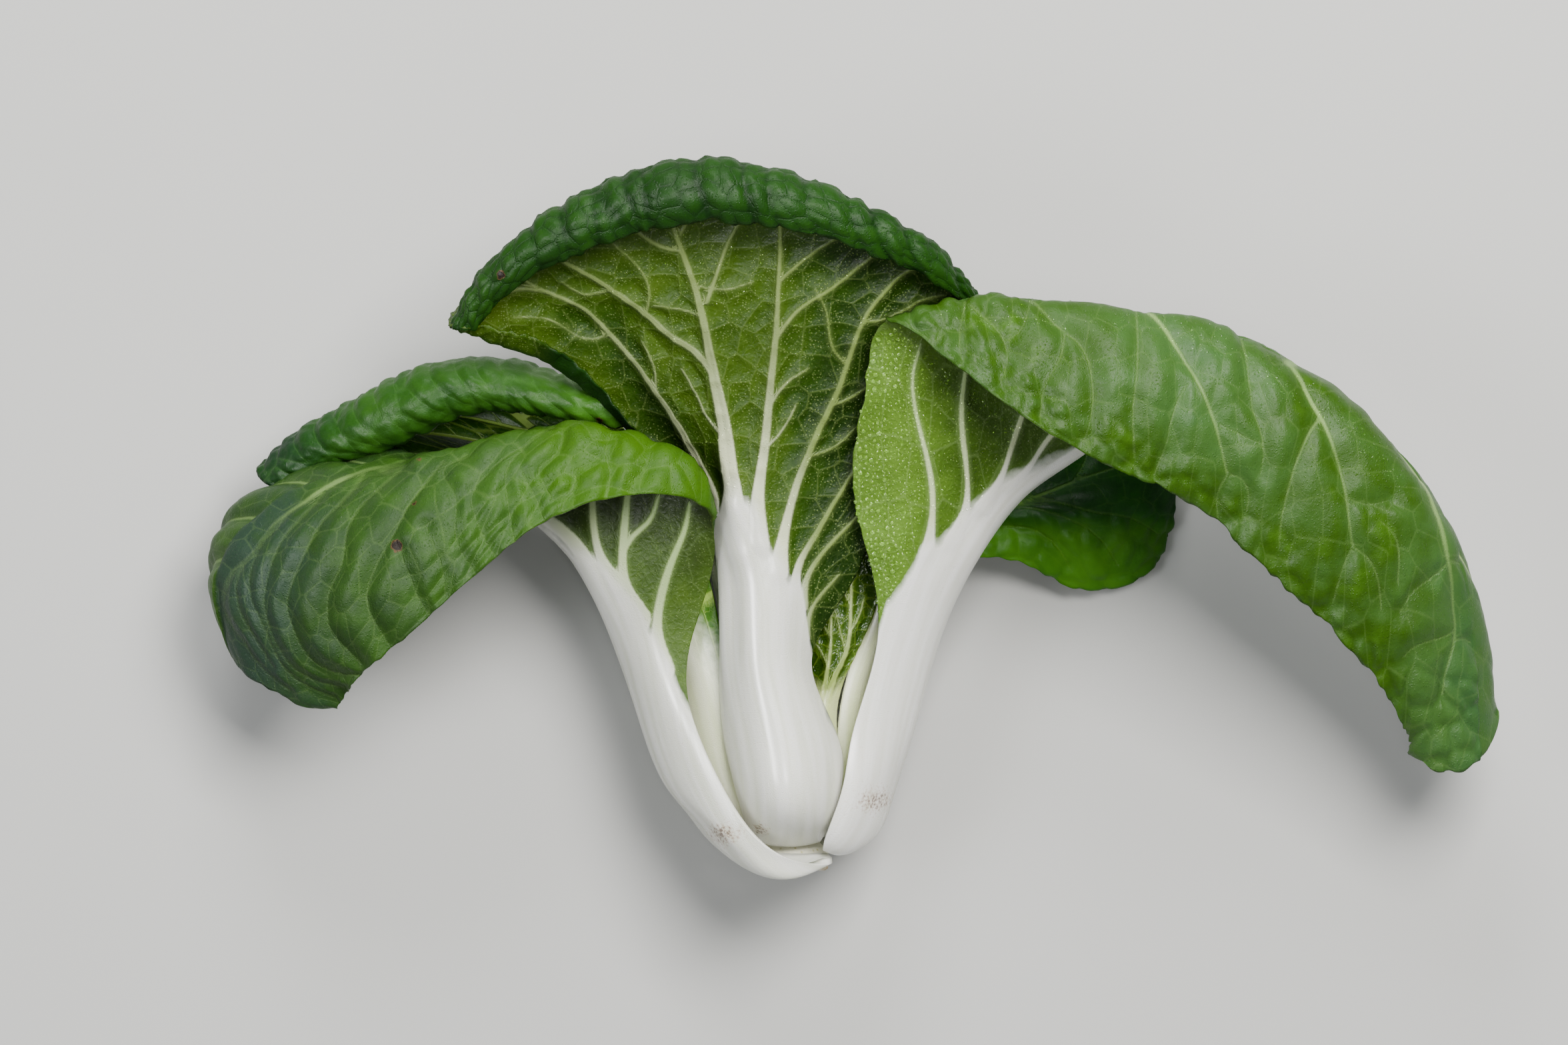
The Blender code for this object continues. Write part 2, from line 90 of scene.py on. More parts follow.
def keep(piece, label, values):
    """Stores a value for each point of a piece, for its material to read."""
    values = np.asarray(values, np.float32)
    kind, key = ("FLOAT_VECTOR", "vector") if values.ndim == 2 else ("FLOAT", "value")
    piece.data.attributes.new(label, kind, "POINT").data.foreach_set(key, values.ravel())


def feed(tree, node, sockets):
    """Sets inputs of a node, each to a value or joined to another node's socket."""
    for name, value in sockets.items():
        if isinstance(value, bpy.types.NodeSocket):
            tree.links.new(value, node.inputs[name])
        else:
            node.inputs[name].default_value = value


def add(tree, kind, sockets=None, **settings):
    """A new shader node with its settings and inputs."""
    new = tree.nodes.new(kind)
    for key, value in settings.items():
        setattr(new, key, value)
    feed(tree, new, sockets or {})
    return new


def reading(tree, label, output="Fac"):
    """A value that the mesh holds for each of its points."""
    return add(tree, "ShaderNodeAttribute", attribute_name=label).outputs[output]


def blend(tree, factor, first, second):
    """A colour mixed from the first to the second by a factor from 0 to 1."""
    sockets = {0: factor, 6: first, 7: second}
    return add(tree, "ShaderNodeMix", sockets, data_type="RGBA").outputs[2]


def ranged(tree, value, low, high, to_low=0.0, to_high=1.0):
    """A value mapped from one range to another, and held inside it."""
    sockets = {"Value": value, "From Min": low, "From Max": high,
               "To Min": to_low, "To Max": to_high}
    return add(tree, "ShaderNodeMapRange", sockets).outputs["Result"]


def maths(tree, operation, first, second=0.0):
    return add(tree, "ShaderNodeMath", {0: first, 1: second}, operation=operation).outputs[0]


def times(tree, first, second):
    return maths(tree, "MULTIPLY", first, second)


def noise(tree, vector, scale, detail=3.0):
    sockets = {"Vector": vector, "Scale": scale, "Detail": detail}
    return add(tree, "ShaderNodeTexNoise", sockets).outputs["Fac"]


def new_material(name):
    material = bpy.data.materials.new(name)
    material.use_nodes = True
    return material, material.node_tree, material.node_tree.nodes["Principled BSDF"]


cut_stem, tree, shader = new_material("cut stem")
place = add(tree, "ShaderNodeTexCoord").outputs["Object"]
grain = noise(tree, place, scale=900.0)
patches = noise(tree, place, scale=220.0)
cream = blend(tree, grain, srgb("dfdcc0"), srgb("f1efdd"))
strands = add(tree, "ShaderNodeTexVoronoi", {"Vector": place, "Scale": 620.0}).outputs["Distance"]
cream = blend(tree, ranged(tree, strands, 0.28, 0.12), cream, srgb("c9c48e"))
dried = times(tree, ranged(tree, reading(tree, "rim"), 0.2, 1.0),
              ranged(tree, patches, 0.35, 0.65))
pith = add(tree, "ShaderNodeBump", {"Height": grain, "Strength": 0.5, "Distance": PITH_BUMP})
feed(tree, shader, {"Base Color": blend(tree, dried, cream, srgb("a58a58")),
                    "Roughness": ranged(tree, grain, 0.3, 0.7, 0.5, 0.7),
                    "Normal": pith.outputs["Normal"]})

turns = np.arange(STEM_SIDES) * 2 * math.pi / STEM_SIDES
points, faces, rims = [], [], []
for ring, (radius, y) in enumerate(STEM_PROFILE):
    for k, turn in enumerate(turns):
        lumps = STEM_LUMPS[0] * math.sin(5 * turn + 1) + STEM_LUMPS[1] * math.sin(9 * turn)
        lumpy = radius * (1 + lumps)
        points.append((STEM_AXIS[0] + lumpy * math.sin(turn),
                       y + KNIFE_WAVE * math.sin(3 * turn + ring),
                       STEM_AXIS[1] + lumpy * math.cos(turn)))
        rims.append(smooth_step(radius, *DRIED_RADII) * smooth_step(y, *DRIED_DEPTHS))
        if ring:
            low, high, ahead = (ring - 1) * STEM_SIDES, ring * STEM_SIDES, (k + 1) % STEM_SIDES
            faces.append((low + k, high + k, high + ahead, low + ahead)[::-1])
stem = solid("stem_root_plate", points, faces, cut_stem, "stem")
keep(stem, "rim", rims)

# The back heart leaf: a small young leaf at the middle of the head, pale and glossy. Like every
# leaf it is one blade that grew from the stem, laid out as rows of points up its outer face. The
# veins stand out on that face, and the blade puffs up between them on the other one.
HEART_BACK_ROWS = [
    [(6.6, 13.5, 23.8), (4.7, 13.5, 21.7), (2.1, 13.5, 20.6), (-0.4, 13.5, 20.7)],
    [(12, 40, 25), (8, 40, 20), (1, 40, 17.8), (-5, 41, 19)],
    [(17, 75, 27), (10, 75, 22.5), (0, 75, 20), (-9, 75, 21)],
    [(24, 102, 31), (12, 107, 26.5), (-3, 108, 24), (-14, 104, 22.5)],
]
BLADE_THICK = 0.6
MARGIN_THICK = 1.3
FOOT_SHARE = 0.42
RIB_WIDTH = 0.16
RIB_SHARE = 0.35
STALK_STEP = 1.5
EDGE_REACH = 3.0
CREASE_ROUND = 0.5
VEIN_STEP = 2
VEIN_SWELL = 1.2
VEIN_SKIRT = 0.6
SIDE_VEIN_WIDTHS = (1.5, 1.1, 0.5)
CELL_BEND = 0.25
BEND_LENGTH = 2.2
CELL_INSET = 0.15
CELL_SPREAD = 0.7
TABLE_GAP = 0.05
FAR = 8.0


def unit(vectors):
    return vectors / np.maximum(np.linalg.norm(vectors, axis=-1, keepdims=True), 1e-9)


def scatter(i, j, seed):
    """A fixed value from 0 to 1 for each pair of whole numbers."""
    mixed = np.sin(i * 12.9898 + j * 78.233 + seed * 37.719) * 43758.5453
    return mixed - np.floor(mixed)


def bumps(x, y, size, seed):
    """Smooth noise from -1 to 1, with bumps of about the given size."""
    x, y = np.asarray(x, float) / size, np.asarray(y, float) / size
    i, j = np.floor(x), np.floor(y)
    u, v = x - i, y - j
    u, v = u * u * (3 - 2 * u), v * v * (3 - 2 * v)
    low = scatter(i, j, seed) * (1 - u) + scatter(i + 1, j, seed) * u
    high = scatter(i, j + 1, seed) * (1 - u) + scatter(i + 1, j + 1, seed) * u
    return 2 * (low * (1 - v) + high * v) - 1


def spline(knots, values, at):
    """A natural cubic through values, one for each knot, read at the parameters in at."""
    count = len(knots)
    flat = values.reshape(count, -1)
    gap = np.diff(knots)[:, None]
    slope = np.diff(flat, axis=0) / gap
    system = np.eye(count)
    pull = np.zeros_like(flat)
    for i in range(1, count - 1):
        system[i, i - 1:i + 2] = gap[i - 1, 0], 2 * (gap[i - 1, 0] + gap[i, 0]), gap[i, 0]
        pull[i] = 6 * (slope[i] - slope[i - 1])
    bend = np.linalg.solve(system, pull)
    i = np.clip(np.searchsorted(knots, at, side="right") - 1, 0, count - 2)
    h = gap[i]
    t = (np.asarray(at) - knots[i])[:, None] / h
    curve = ((1 - t) ** 3 - (1 - t)) * bend[i] + (t ** 3 - t) * bend[i + 1]
    read = (1 - t) * flat[i] + t * flat[i + 1] + h * h / 6 * curve
    return read.reshape((len(at),) + values.shape[1:])


def knots_along(points, axis):
    """Distances from the first to each next point along an axis, averaged over the other one."""
    lengths = np.linalg.norm(np.diff(points, axis=axis), axis=2).mean(axis=1 - axis)
    return np.concatenate([[0], np.cumsum(lengths)])


def subdivided(knots, spans, steps):
    """Parameters from the first knot to the last, with gaps of about a step."""
    pieces = [np.linspace(a, b, max(1, math.ceil(span / step)), endpoint=False)
              for a, b, span, step in zip(knots[:-1], knots[1:], spans, steps)]
    return np.concatenate(pieces + [knots[-1:]])


def roll_up(grid, across, knots, radii, turn_deg, step):
    """Rows that carry the blade on past its last row, rolled up towards its outer face."""
    heading = unit(grid[-1] - grid[-2])
    outward = unit(np.cross(np.gradient(grid[-1], axis=0), heading))
    radius = spline(knots, np.array(radii, float)[:, None], across)
    steps = math.ceil(math.radians(turn_deg) * max(radii) / step)
    turns = np.radians(turn_deg) * np.arange(1, steps + 1)[:, None, None] / steps
    return grid[-1] + radius * (np.sin(turns) * heading + (1 - np.cos(turns)) * outward)


def lay_out(rows, midrib, neck, step, radii=None, turn_deg=0.0):
    """A leaf's outer face as a fine grid, with what each of its points needs to know.

    side and up are flat distances from the midrib and from the foot, column and row count the
    ribs and stations, and aside goes from the midrib, 0, to a margin, 1. foot, blade and tip
    rise from 0 to 1 one after another up the leaf, and rolled is true in a rolled margin.
    """
    net = np.array(rows, float)
    up_knots, side_knots = knots_along(net, 0), knots_along(net, 1)
    row_spans = np.linalg.norm(np.diff(net, axis=0), axis=2).max(axis=1)
    column_spans = np.linalg.norm(np.diff(net, axis=1), axis=2).max(axis=0)
    row_steps = [STALK_STEP if i < neck[0] - 1 else step for i in range(len(net) - 1)]
    up = subdivided(up_knots, row_spans, row_steps)
    across = subdivided(side_knots, column_spans, [step] * len(column_spans))
    grid = spline(up_knots, net, up)
    grid = spline(side_knots, grid.transpose(1, 0, 2), across).transpose(1, 0, 2)
    flat_rows = len(grid)
    if radii:
        grid = np.concatenate([grid, roll_up(grid, across, side_knots, radii, turn_deg, step)])
        up = np.concatenate([up, up[-1] + step * np.arange(1, len(grid) - flat_rows + 1)])

    middle = side_knots[midrib]
    rib = int(np.argmin(abs(across - middle)))
    side = np.cumsum(np.linalg.norm(np.diff(grid, axis=1, prepend=grid[:, :1]), axis=2), axis=1)
    climb = np.cumsum(np.linalg.norm(np.diff(grid[:, rib], axis=0, prepend=grid[:1, rib]), axis=1))
    aside = np.where(across < middle, (middle - across) / middle,
                     (across - middle) / (side_knots[-1] - middle))
    shape = grid.shape[:2]

    def share_of_rows(start, end):
        return np.broadcast_to(smooth_step(up, start, end)[:, None], shape)

    return SimpleNamespace(
        points=grid, normal=unit(np.cross(np.gradient(grid, axis=1), np.gradient(grid, axis=0))),
        side=side - side[:, rib:rib + 1], up=np.broadcast_to(climb[:, None], shape),
        row=np.broadcast_to(np.interp(up, up_knots, np.arange(len(net)))[:, None], shape),
        column=np.broadcast_to(np.interp(across, side_knots, np.arange(net.shape[1])), shape),
        aside=np.broadcast_to(aside, shape),
        rolled=np.broadcast_to((np.arange(len(grid)) >= flat_rows)[:, None], shape),
        blade=share_of_rows(up_knots[neck[0]], up_knots[neck[1]]),
        foot=share_of_rows(0, up_knots[2]), tip=share_of_rows(up_knots[neck[1]], up_knots[-1]))


def fading(distance, reach):
    """A value that fades from 1 at a line to almost nothing at twice its reach."""
    return np.exp(-(distance / reach) ** 2)


def vein_field(x, y, veins, slim=1.0):
    """What veins do at flat points, each vein a line of places with its widths.

    gap is the distance to the nearest vein's edge, line the distance to its middle with a sign
    for the side that it is on, half its half width, and stand how far it stands out.
    """
    shape = x.shape
    x, y = x.ravel(), y.ravel()
    gap, line, half, stand = np.full(x.size, FAR), np.full(x.size, FAR), 0 * x, 0 * x
    for vein in veins:
        vein = np.array(vein, float)
        vein[:, 2] = slim * vein[:, 2] ** VEIN_SWELL
        knots = np.concatenate([[0], np.cumsum(np.hypot(*np.diff(vein[:, :2], axis=0).T))])
        stops = max(2, round(knots[-1] / VEIN_STEP))
        course = spline(knots, vein, np.linspace(0, knots[-1], stops))
        west, south = course[:, :2].min(axis=0) - FAR
        east, north = course[:, :2].max(axis=0) + FAR
        near = np.nonzero((x > west) & (x < east) & (y > south) & (y < north))[0]
        px, py = x[near], y[near]
        for (ax, ay, aw), (bx, by, bw) in zip(course[:-1], course[1:]):
            dx, dy = bx - ax, by - ay
            t = np.clip(((px - ax) * dx + (py - ay) * dy) / (dx * dx + dy * dy), 0, 1)
            away = np.hypot(px - ax - t * dx, py - ay - t * dy)
            wide = (aw + t * (bw - aw)) / 2
            closer = away - wide < gap[near]
            hand = np.where(dx * (py - ay) > dy * (px - ax), 1, -1)
            gap[near] = np.where(closer, away - wide, gap[near])
            line[near] = np.where(closer, away * hand, line[near])
            half[near] = np.where(closer, wide, half[near])
            rise = wide * fading(away, wide + VEIN_SKIRT)
            stand[near] = np.maximum(stand[near], rise)
    return SimpleNamespace(gap=gap.reshape(shape), line=line.reshape(shape),
                           half=half.reshape(shape), stand=stand.reshape(shape))


def feather(start, end, reach, pitch, lean, width):
    """A midrib and the side veins that leave it by turns, in flat distances."""
    veins = [[(0, start, width), (0, (start + end) / 2, width * 0.6), (0, end, 0.7)]]
    stout, middling, thin = SIDE_VEIN_WIDTHS
    for k in range(int((end - start) / pitch)):
        for hand in (-1, 1):
            foot = start + (k + 0.25 + 0.25 * hand) * pitch
            veins.append([(0, foot, stout),
                          (hand * reach * 0.4, foot + lean * reach * 0.3, middling),
                          (hand * reach, foot + lean * reach, thin)])
    return veins


def cells(x, y, size, seed):
    """Irregular cells of about the given size, as the finer veins part them.

    gap is the distance to the nearest wall, and line the same with a sign for the side.
    """
    bent_x = (x + CELL_BEND * size * bumps(x, y, BEND_LENGTH * size, seed + 5)) / size
    bent_y = (y + CELL_BEND * size * bumps(x, y, BEND_LENGTH * size, seed + 6)) / size
    i, j = np.floor(bent_x), np.floor(bent_y)
    middles = [(i + di + CELL_INSET + CELL_SPREAD * scatter(i + di, j + dj, seed),
                j + dj + CELL_INSET + CELL_SPREAD * scatter(i + di, j + dj, seed + 1))
               for di in (-1, 0, 1) for dj in (-1, 0, 1)]
    sx, sy = np.array(middles).transpose(1, 0, 2, 3)
    away = (sx - bent_x) ** 2 + (sy - bent_y) ** 2
    pair = np.argsort(away, axis=0)[:2]
    (near, far), (ax, bx), (ay, by) = (np.take_along_axis(field, pair, 0)
                                       for field in (away, sx, sy))
    gap = (far - near) / (2 * np.hypot(ax - bx, ay - by)) * size
    return SimpleNamespace(gap=gap, line=np.where(0.8 * ax + ay > 0.8 * bx + by, gap, -gap))


def pillow(gap, reach):
    """A puff that rises from 0 at a slightly rounded crease to 1 at its reach from it."""
    gap = np.hypot(gap, CREASE_ROUND) - CREASE_ROUND
    return 1 - (1 - np.clip(gap / reach, 0, 1)) ** 2


def quilted(veins, net, puff, reach, fine, fine_reach):
    """How far a blade puffs away from its outer face, between its veins and within its net."""
    return puff * pillow(veins.gap, reach) + fine * pillow(net.gap, fine_reach)


def ruffle(sheet, wave, bite, size, seed):
    """Waves the margins up and down and nibbles their edge, less and less away from it."""
    left, right = sheet.side - sheet.side[:, :1], sheet.side[:, -1:] - sheet.side
    top = sheet.up[-1:] - sheet.up
    blade = sheet.blade[:, :, None]
    for near, along, edge, inside in ((left, sheet.up, 0, 4), (right, sheet.up + 500, -1, -5)):
        out = unit(sheet.points[:, edge] - sheet.points[:, inside])[:, None]
        fade = np.exp(-near / (2 * EDGE_REACH))[:, :, None]
        swing = bumps(along, 0 * along, size, seed)[:, :, None]
        nick = (1 + bumps(along, 0 * along, size / 3, seed + 1))[:, :, None] / 2
        close = np.clip(1 - near / EDGE_REACH, 0, 1)[:, :, None] ** 2
        shift = sheet.normal * wave * swing * fade - out * bite * nick * close
        sheet.points = sheet.points + blade * shift
    out = unit(sheet.points[-1] - sheet.points[-5])[None]
    nick = (1 + bumps(sheet.side, 0 * sheet.side, size / 3, seed + 2))[:, :, None] / 2
    close = np.clip(1 - top / EDGE_REACH, 0, 1)[:, :, None] ** 2
    sheet.points = sheet.points - out * bite * nick * close


def make_leaf(name, node, sheet, veins, net, sunk, above, tone, material, stalk, seed,
              stand=0.5, stain=0.0, pale=0.0, fair=0.0):
    """Thickens a laid-out leaf and makes its mesh.

    sunk is how far the blade lies behind its outer face's veins, stand how far those veins stand
    out, stalk how thick the stalk is, above how far a point lies above the stalk's white, pale
    how much of that white the veins keep, fair how much of the inner face has the outer one's
    green, and tone where a point lies on its material's run of greens.
    """
    crescent = np.sqrt(np.clip(1 - sheet.aside ** 2, 0, 1))
    full = stalk * (FOOT_SHARE + (1 - FOOT_SHARE) * sheet.foot)
    rib = stalk * RIB_SHARE * fading(sheet.aside, RIB_WIDTH) * (1 - sheet.tip)
    thick = ((MARGIN_THICK + (full - MARGIN_THICK) * crescent) * (1 - sheet.blade)
             + (BLADE_THICK + rib) * sheet.blade)
    proud = stand * veins.stand * sheet.blade
    outer = sheet.points + sheet.normal * (proud - sunk)[:, :, None]
    inner = sheet.points - sheet.normal * (thick + sunk)[:, :, None]
    under = np.clip(TABLE_GAP - np.minimum(outer[:, :, 2], inner[:, :, 2]), 0, None)
    outer[:, :, 2] += under
    inner[:, :, 2] += under

    height, width = sheet.side.shape
    count = height * width
    index = np.arange(count).reshape(height, width)
    a, b, c, d = index[:-1, :-1], index[:-1, 1:], index[1:, 1:], index[1:, :-1]
    faces = np.stack((a, b, c, d), axis=-1).reshape(-1, 4)
    border = np.concatenate([index[0, :-1], index[:-1, -1], index[-1, :0:-1], index[:0:-1, 0]])
    ahead = np.roll(border, -1)
    edge = np.stack([border, border + count, ahead + count, ahead], axis=-1)
    faces = np.concatenate([faces, faces[:, ::-1] + count, edge])
    points = np.concatenate([outer.reshape(-1, 3), inner.reshape(-1, 3)])
    piece = solid(name, points, faces.tolist(), material, node)

    def both(*fields):
        """The same for a point on the outer face and the point behind it on the inner one."""
        columns = [np.tile(np.broadcast_to(field, (height, width)).ravel(), 2) for field in fields]
        return columns[0] if len(columns) == 1 else np.stack(columns, axis=1)

    keep(piece, "inner", np.repeat((0.0, 1.0), count) * (1 - both(fair)))
    keep(piece, "above", both(np.clip(above, -FAR, FAR)))
    # tone places a point on its material's run of greens; in some leaves the run's dark end is
    # painted shade or shadow.
    keep(piece, "tone", both(tone))
    keep(piece, "stain", both(stain))
    keep(piece, "veins", both(veins.line, veins.half, veins.gap))
    keep(piece, "net", both(net.line, net.gap, pale))
    keep(piece, "flat", both(sheet.side + 300 * seed, sheet.up, 0.0))
    return piece


def new_group(name, inputs, outputs):
    """A node group whose inputs have the given kinds, and which puts out numbers."""
    group = bpy.data.node_groups.new(name, "ShaderNodeTree")
    for label, kind in inputs.items():
        group.interface.new_socket(name=label, in_out="INPUT", socket_type="NodeSocket" + kind)
    for label in outputs:
        group.interface.new_socket(name=label, in_out="OUTPUT", socket_type="NodeSocketFloat")
    entry, leave = add(group, "NodeGroupInput"), add(group, "NodeGroupOutput")
    return group, entry.outputs, leave


# The grain of every blade, as a node group: a fine mesh of cells bent out of true, and specks.
blade_grain, given, leave = new_group("blade grain", {"Place": "Vector", "Cell": "Float"},
                                      ("Line", "Swell", "Speck"))
bend = add(blade_grain, "ShaderNodeTexNoise",
           {"Vector": given["Place"], "Scale": 0.5, "Detail": 2.0})
bend = add(blade_grain, "ShaderNodeVectorMath",
           {0: bend.outputs["Color"], 1: (0.5, 0.5, 0.5)}, operation="SUBTRACT")
bend = add(blade_grain, "ShaderNodeVectorMath",
           {0: bend.outputs["Vector"], "Scale": 2.6}, operation="SCALE")
bent = add(blade_grain, "ShaderNodeVectorMath", {0: given["Place"], 1: bend.outputs["Vector"]})
mesh_scale = maths(blade_grain, "DIVIDE", 1.0, given["Cell"])
edge = add(blade_grain, "ShaderNodeTexVoronoi",
           {"Vector": bent.outputs["Vector"], "Scale": mesh_scale},
           feature="DISTANCE_TO_EDGE").outputs["Distance"]
feed(blade_grain, leave, {"Line": ranged(blade_grain, edge, 0.0, 0.075, 1.0, 0.0),
                          "Swell": ranged(blade_grain, edge, 0.0, 0.32),
                          "Speck": noise(blade_grain, given["Place"], scale=2.6, detail=2.0)})

# The skin of the white stalks, as a node group: faint strands up the stalk, and a wet grain.
stalk_skin, given, leave = new_group("stalk skin", {"Flat": "Vector"}, ("Strand", "Grain"))
drawn = add(stalk_skin, "ShaderNodeVectorMath", {0: given["Flat"], 1: (1.0, 0.06, 1.0)},
            operation="MULTIPLY").outputs["Vector"]
feed(stalk_skin, leave, {"Strand": noise(stalk_skin, drawn, scale=0.35, detail=5.0),
                         "Grain": noise(stalk_skin, given["Flat"], scale=3.2, detail=4.0)})

# Fine beads of dew, as a node group: round dots in patches, for leaves that are still wet.
dew_beads, given, leave = new_group("dew beads", {"Place": "Vector"}, ("Bead",))
dots = add(dew_beads, "ShaderNodeTexVoronoi",
           {"Vector": given["Place"], "Scale": 1.3}).outputs["Distance"]
patch = noise(dew_beads, given["Place"], scale=0.14, detail=2.0)
patch = ranged(dew_beads, patch, 0.34, 0.52, 0.25, 1.0)
feed(dew_beads, leave,
     {"Bead": times(dew_beads, ranged(dew_beads, dots, 0.34, 0.08), patch)})


def run_of_colours(tree, factor, codes):
    """A colour ramp with its colours spread evenly."""
    ramp = add(tree, "ShaderNodeValToRGB", {"Fac": factor})
    stops = ramp.color_ramp.elements
    while len(stops) < len(codes):
        stops.new(0.5)
    for i, code in enumerate(codes):
        stops[i].position = i / (len(codes) - 1)
        stops[i].color = srgb(code)
    return ramp.outputs["Color"]


def plus(tree, first, second):
    return maths(tree, "ADD", first, second)


def parts(tree, label):
    """The three numbers that the mesh holds under one label for each of its points."""
    return add(tree, "ShaderNodeSeparateXYZ", {0: reading(tree, label, "Vector")}).outputs


def between(tree, factor, first, second):
    """A number mixed from the first to the second by a factor from 0 to 1."""
    return add(tree, "ShaderNodeMix", {0: factor, 2: first, 3: second}).outputs[0]


VEIN_WHITE = "ccd0ae"
DEW_COLOUR = "b2c974"
SCUFF_COLOURS = ("a98a66", "553522", "1c140c")
SKIN_BUMP = 0.0003
SAP_DEPTHS = (0.0015, 0.002, 0.0008)


def leaf_skin(name, outer, inner, outer_vein="8fae4a", inner_vein="6f9440",
              white=("cfd1c2", "e0e0d9"), cell=2.4, outer_net=0.5, inner_net=0.3, crease=0.8,
              soft=0.25, gloss=0.36, shine=0.28, dew=0.0):
    """The skin of a leaf: runs of greens for its two faces, pale veins, and a white stalk.

    outer_net and inner_net are how plainly the net shows on each face, crease how plainly the
    veins show on the inner one, soft how far a vein's edge fades, and dew how thick the dew is.
    """
    material, tree, shader = new_material(name)
    flat = reading(tree, "flat", "Vector")
    place = add(tree, "ShaderNodeTexCoord").outputs["Object"]
    place = add(tree, "ShaderNodeVectorMath", {0: place, "Scale": 1 / MM},
                operation="SCALE").outputs["Vector"]
    is_inner = reading(tree, "inner")
    line, half, gap = parts(tree, "veins")
    net_line, net_gap, paleness = parts(tree, "net")
    grain = add(tree, "ShaderNodeGroup", node_tree=blade_grain)
    feed(tree, grain, {"Place": place, "Cell": cell})
    grain = grain.outputs
    skin = add(tree, "ShaderNodeGroup", node_tree=stalk_skin)
    feed(tree, skin, {"Flat": flat})
    skin = skin.outputs

    wobble = ranged(tree, grain["Speck"], 0.3, 0.7, -0.07, 0.07)
    ragged = ranged(tree, noise(tree, place, scale=0.45), 0.3, 0.7, -0.35, 0.35)
    above = plus(tree, reading(tree, "above"), ragged)
    stalk = ranged(tree, above, 1.9, -1.3)
    edge = plus(tree, maths(tree, "SUBTRACT", maths(tree, "ABSOLUTE", line), half), wobble)
    slender = times(tree, ranged(tree, edge, soft, -0.6 * soft), ranged(tree, gap, 0.65, 0.4))
    slender = times(tree, slender, ranged(tree, half, 0.95, 0.7))
    slender = times(tree, slender, ranged(tree, half, 0.08, 0.4, 0.35, 1.0))
    stout = ranged(tree, plus(tree, gap, wobble), soft, -0.6 * soft)
    vein = maths(tree, "MAXIMUM", slender, stout)
    halo = ranged(tree, gap, 1.3, -0.2, 0.0, 0.22)
    netting = plus(tree, maths(tree, "ABSOLUTE", net_line), wobble)
    netting = times(tree, ranged(tree, netting, 0.34, 0.04), ranged(tree, net_gap, 0.75, 0.45))
    netting = times(tree, netting, ranged(tree, is_inner, 0.0, 1.0, outer_net, inner_net))
    mesh = times(tree, grain["Line"],
                 ranged(tree, is_inner, 0.0, 1.0, outer_net * 0.25, inner_net * 0.25))

    mottle = ranged(tree, noise(tree, place, scale=0.13, detail=5.0), 0.3, 0.7, -0.16, 0.16)
    tone = plus(tree, reading(tree, "tone"), mottle)
    tint = srgb(outer_vein)
    outside = blend(tree, mesh, run_of_colours(tree, tone, outer), tint)
    outside = blend(tree, halo, blend(tree, netting, outside, tint), tint)
    if dew:
        bead = add(tree, "ShaderNodeGroup", node_tree=dew_beads)
        feed(tree, bead, {"Place": place})
        bead = bead.outputs["Bead"]
        outside = blend(tree, times(tree, bead, dew), outside, srgb(DEW_COLOUR))
    white_vein = blend(tree, ranged(tree, above, 7.5, 0.5), srgb(VEIN_WHITE), srgb(white[0]))
    white_vein = blend(tree, paleness, tint, white_vein)
    outside = blend(tree, vein, outside, white_vein)
    tint = srgb(inner_vein)
    inside = blend(tree, mesh, run_of_colours(tree, tone, inner), tint)
    inside = blend(tree, netting, inside, tint)
    plain = ranged(tree, half, 0.3, 0.5, 0.22 * crease, crease)
    inside = blend(tree, times(tree, plain, times(tree, halo, 0.6)), inside, tint)
    inside = blend(tree, times(tree, vein, plain), inside, tint)
    green = blend(tree, is_inner, outside, inside)

    pale = blend(tree, ranged(tree, skin["Strand"], 0.35, 0.65), srgb(white[0]), srgb(white[1]))
    colour = blend(tree, stalk, green, pale)
    rubbed = ranged(tree, noise(tree, place, scale=1.3, detail=6.0), 0.3, 0.7, -0.5, 0.5)
    scuff = plus(tree, reading(tree, "stain"), rubbed)
    sand, brown, black = (srgb(code) for code in SCUFF_COLOURS)
    sandy = times(tree, ranged(tree, scuff, 0.35, 0.8, 0.0, 0.45), stalk)
    colour = blend(tree, sandy, colour, sand)
    colour = blend(tree, ranged(tree, scuff, 0.8, 1.05, 0.0, 0.7), colour, brown)
    colour = blend(tree, ranged(tree, scuff, 1.25, 1.6), colour, black)

    green_gloss = ranged(tree, grain["Speck"], 0.25, 0.75, gloss - 0.07, gloss + 0.08)
    if dew:
        green_gloss = maths(tree, "SUBTRACT", green_gloss, times(tree, bead, 0.16))
    stalk_gloss = ranged(tree, skin["Grain"], 0.3, 0.7, 0.26, 0.46)
    film = times(tree, stalk, ranged(tree, skin["Strand"], 0.35, 0.6))

    hand = ranged(tree, is_inner, 0.0, 1.0, 1.0, -1.0)
    swell = times(tree, grain["Swell"], ranged(tree, is_inner, 0.0, 1.0, 0.35, 0.12))
    raised = maths(tree, "SUBTRACT", netting, swell)
    raised = times(tree, raised, ranged(tree, vein, 0.0, 1.0, 1.0, 0.15))
    raised = plus(tree, times(tree, vein, 0.8), raised)
    raised = plus(tree, times(tree, raised, hand), times(tree, grain["Speck"], 0.2))
    if dew:
        raised = plus(tree, raised, times(tree, bead, 0.3))
    drawn = plus(tree, times(tree, skin["Strand"], 0.7), times(tree, skin["Grain"], 0.7))
    bump = add(tree, "ShaderNodeBump", {"Height": between(tree, stalk, raised, drawn),
                                        "Strength": 0.8, "Distance": SKIN_BUMP})
    feed(tree, shader, {"Base Color": colour, "Normal": bump.outputs["Normal"],
                        "Roughness": between(tree, stalk, green_gloss, stalk_gloss),
                        "Coat Weight": film, "Coat Roughness": 0.27,
                        "Subsurface Weight": 0.05, "Subsurface Radius": SAP_DEPTHS,
                        "Subsurface Scale": 1.0, "Specular IOR Level": shine})
    return material


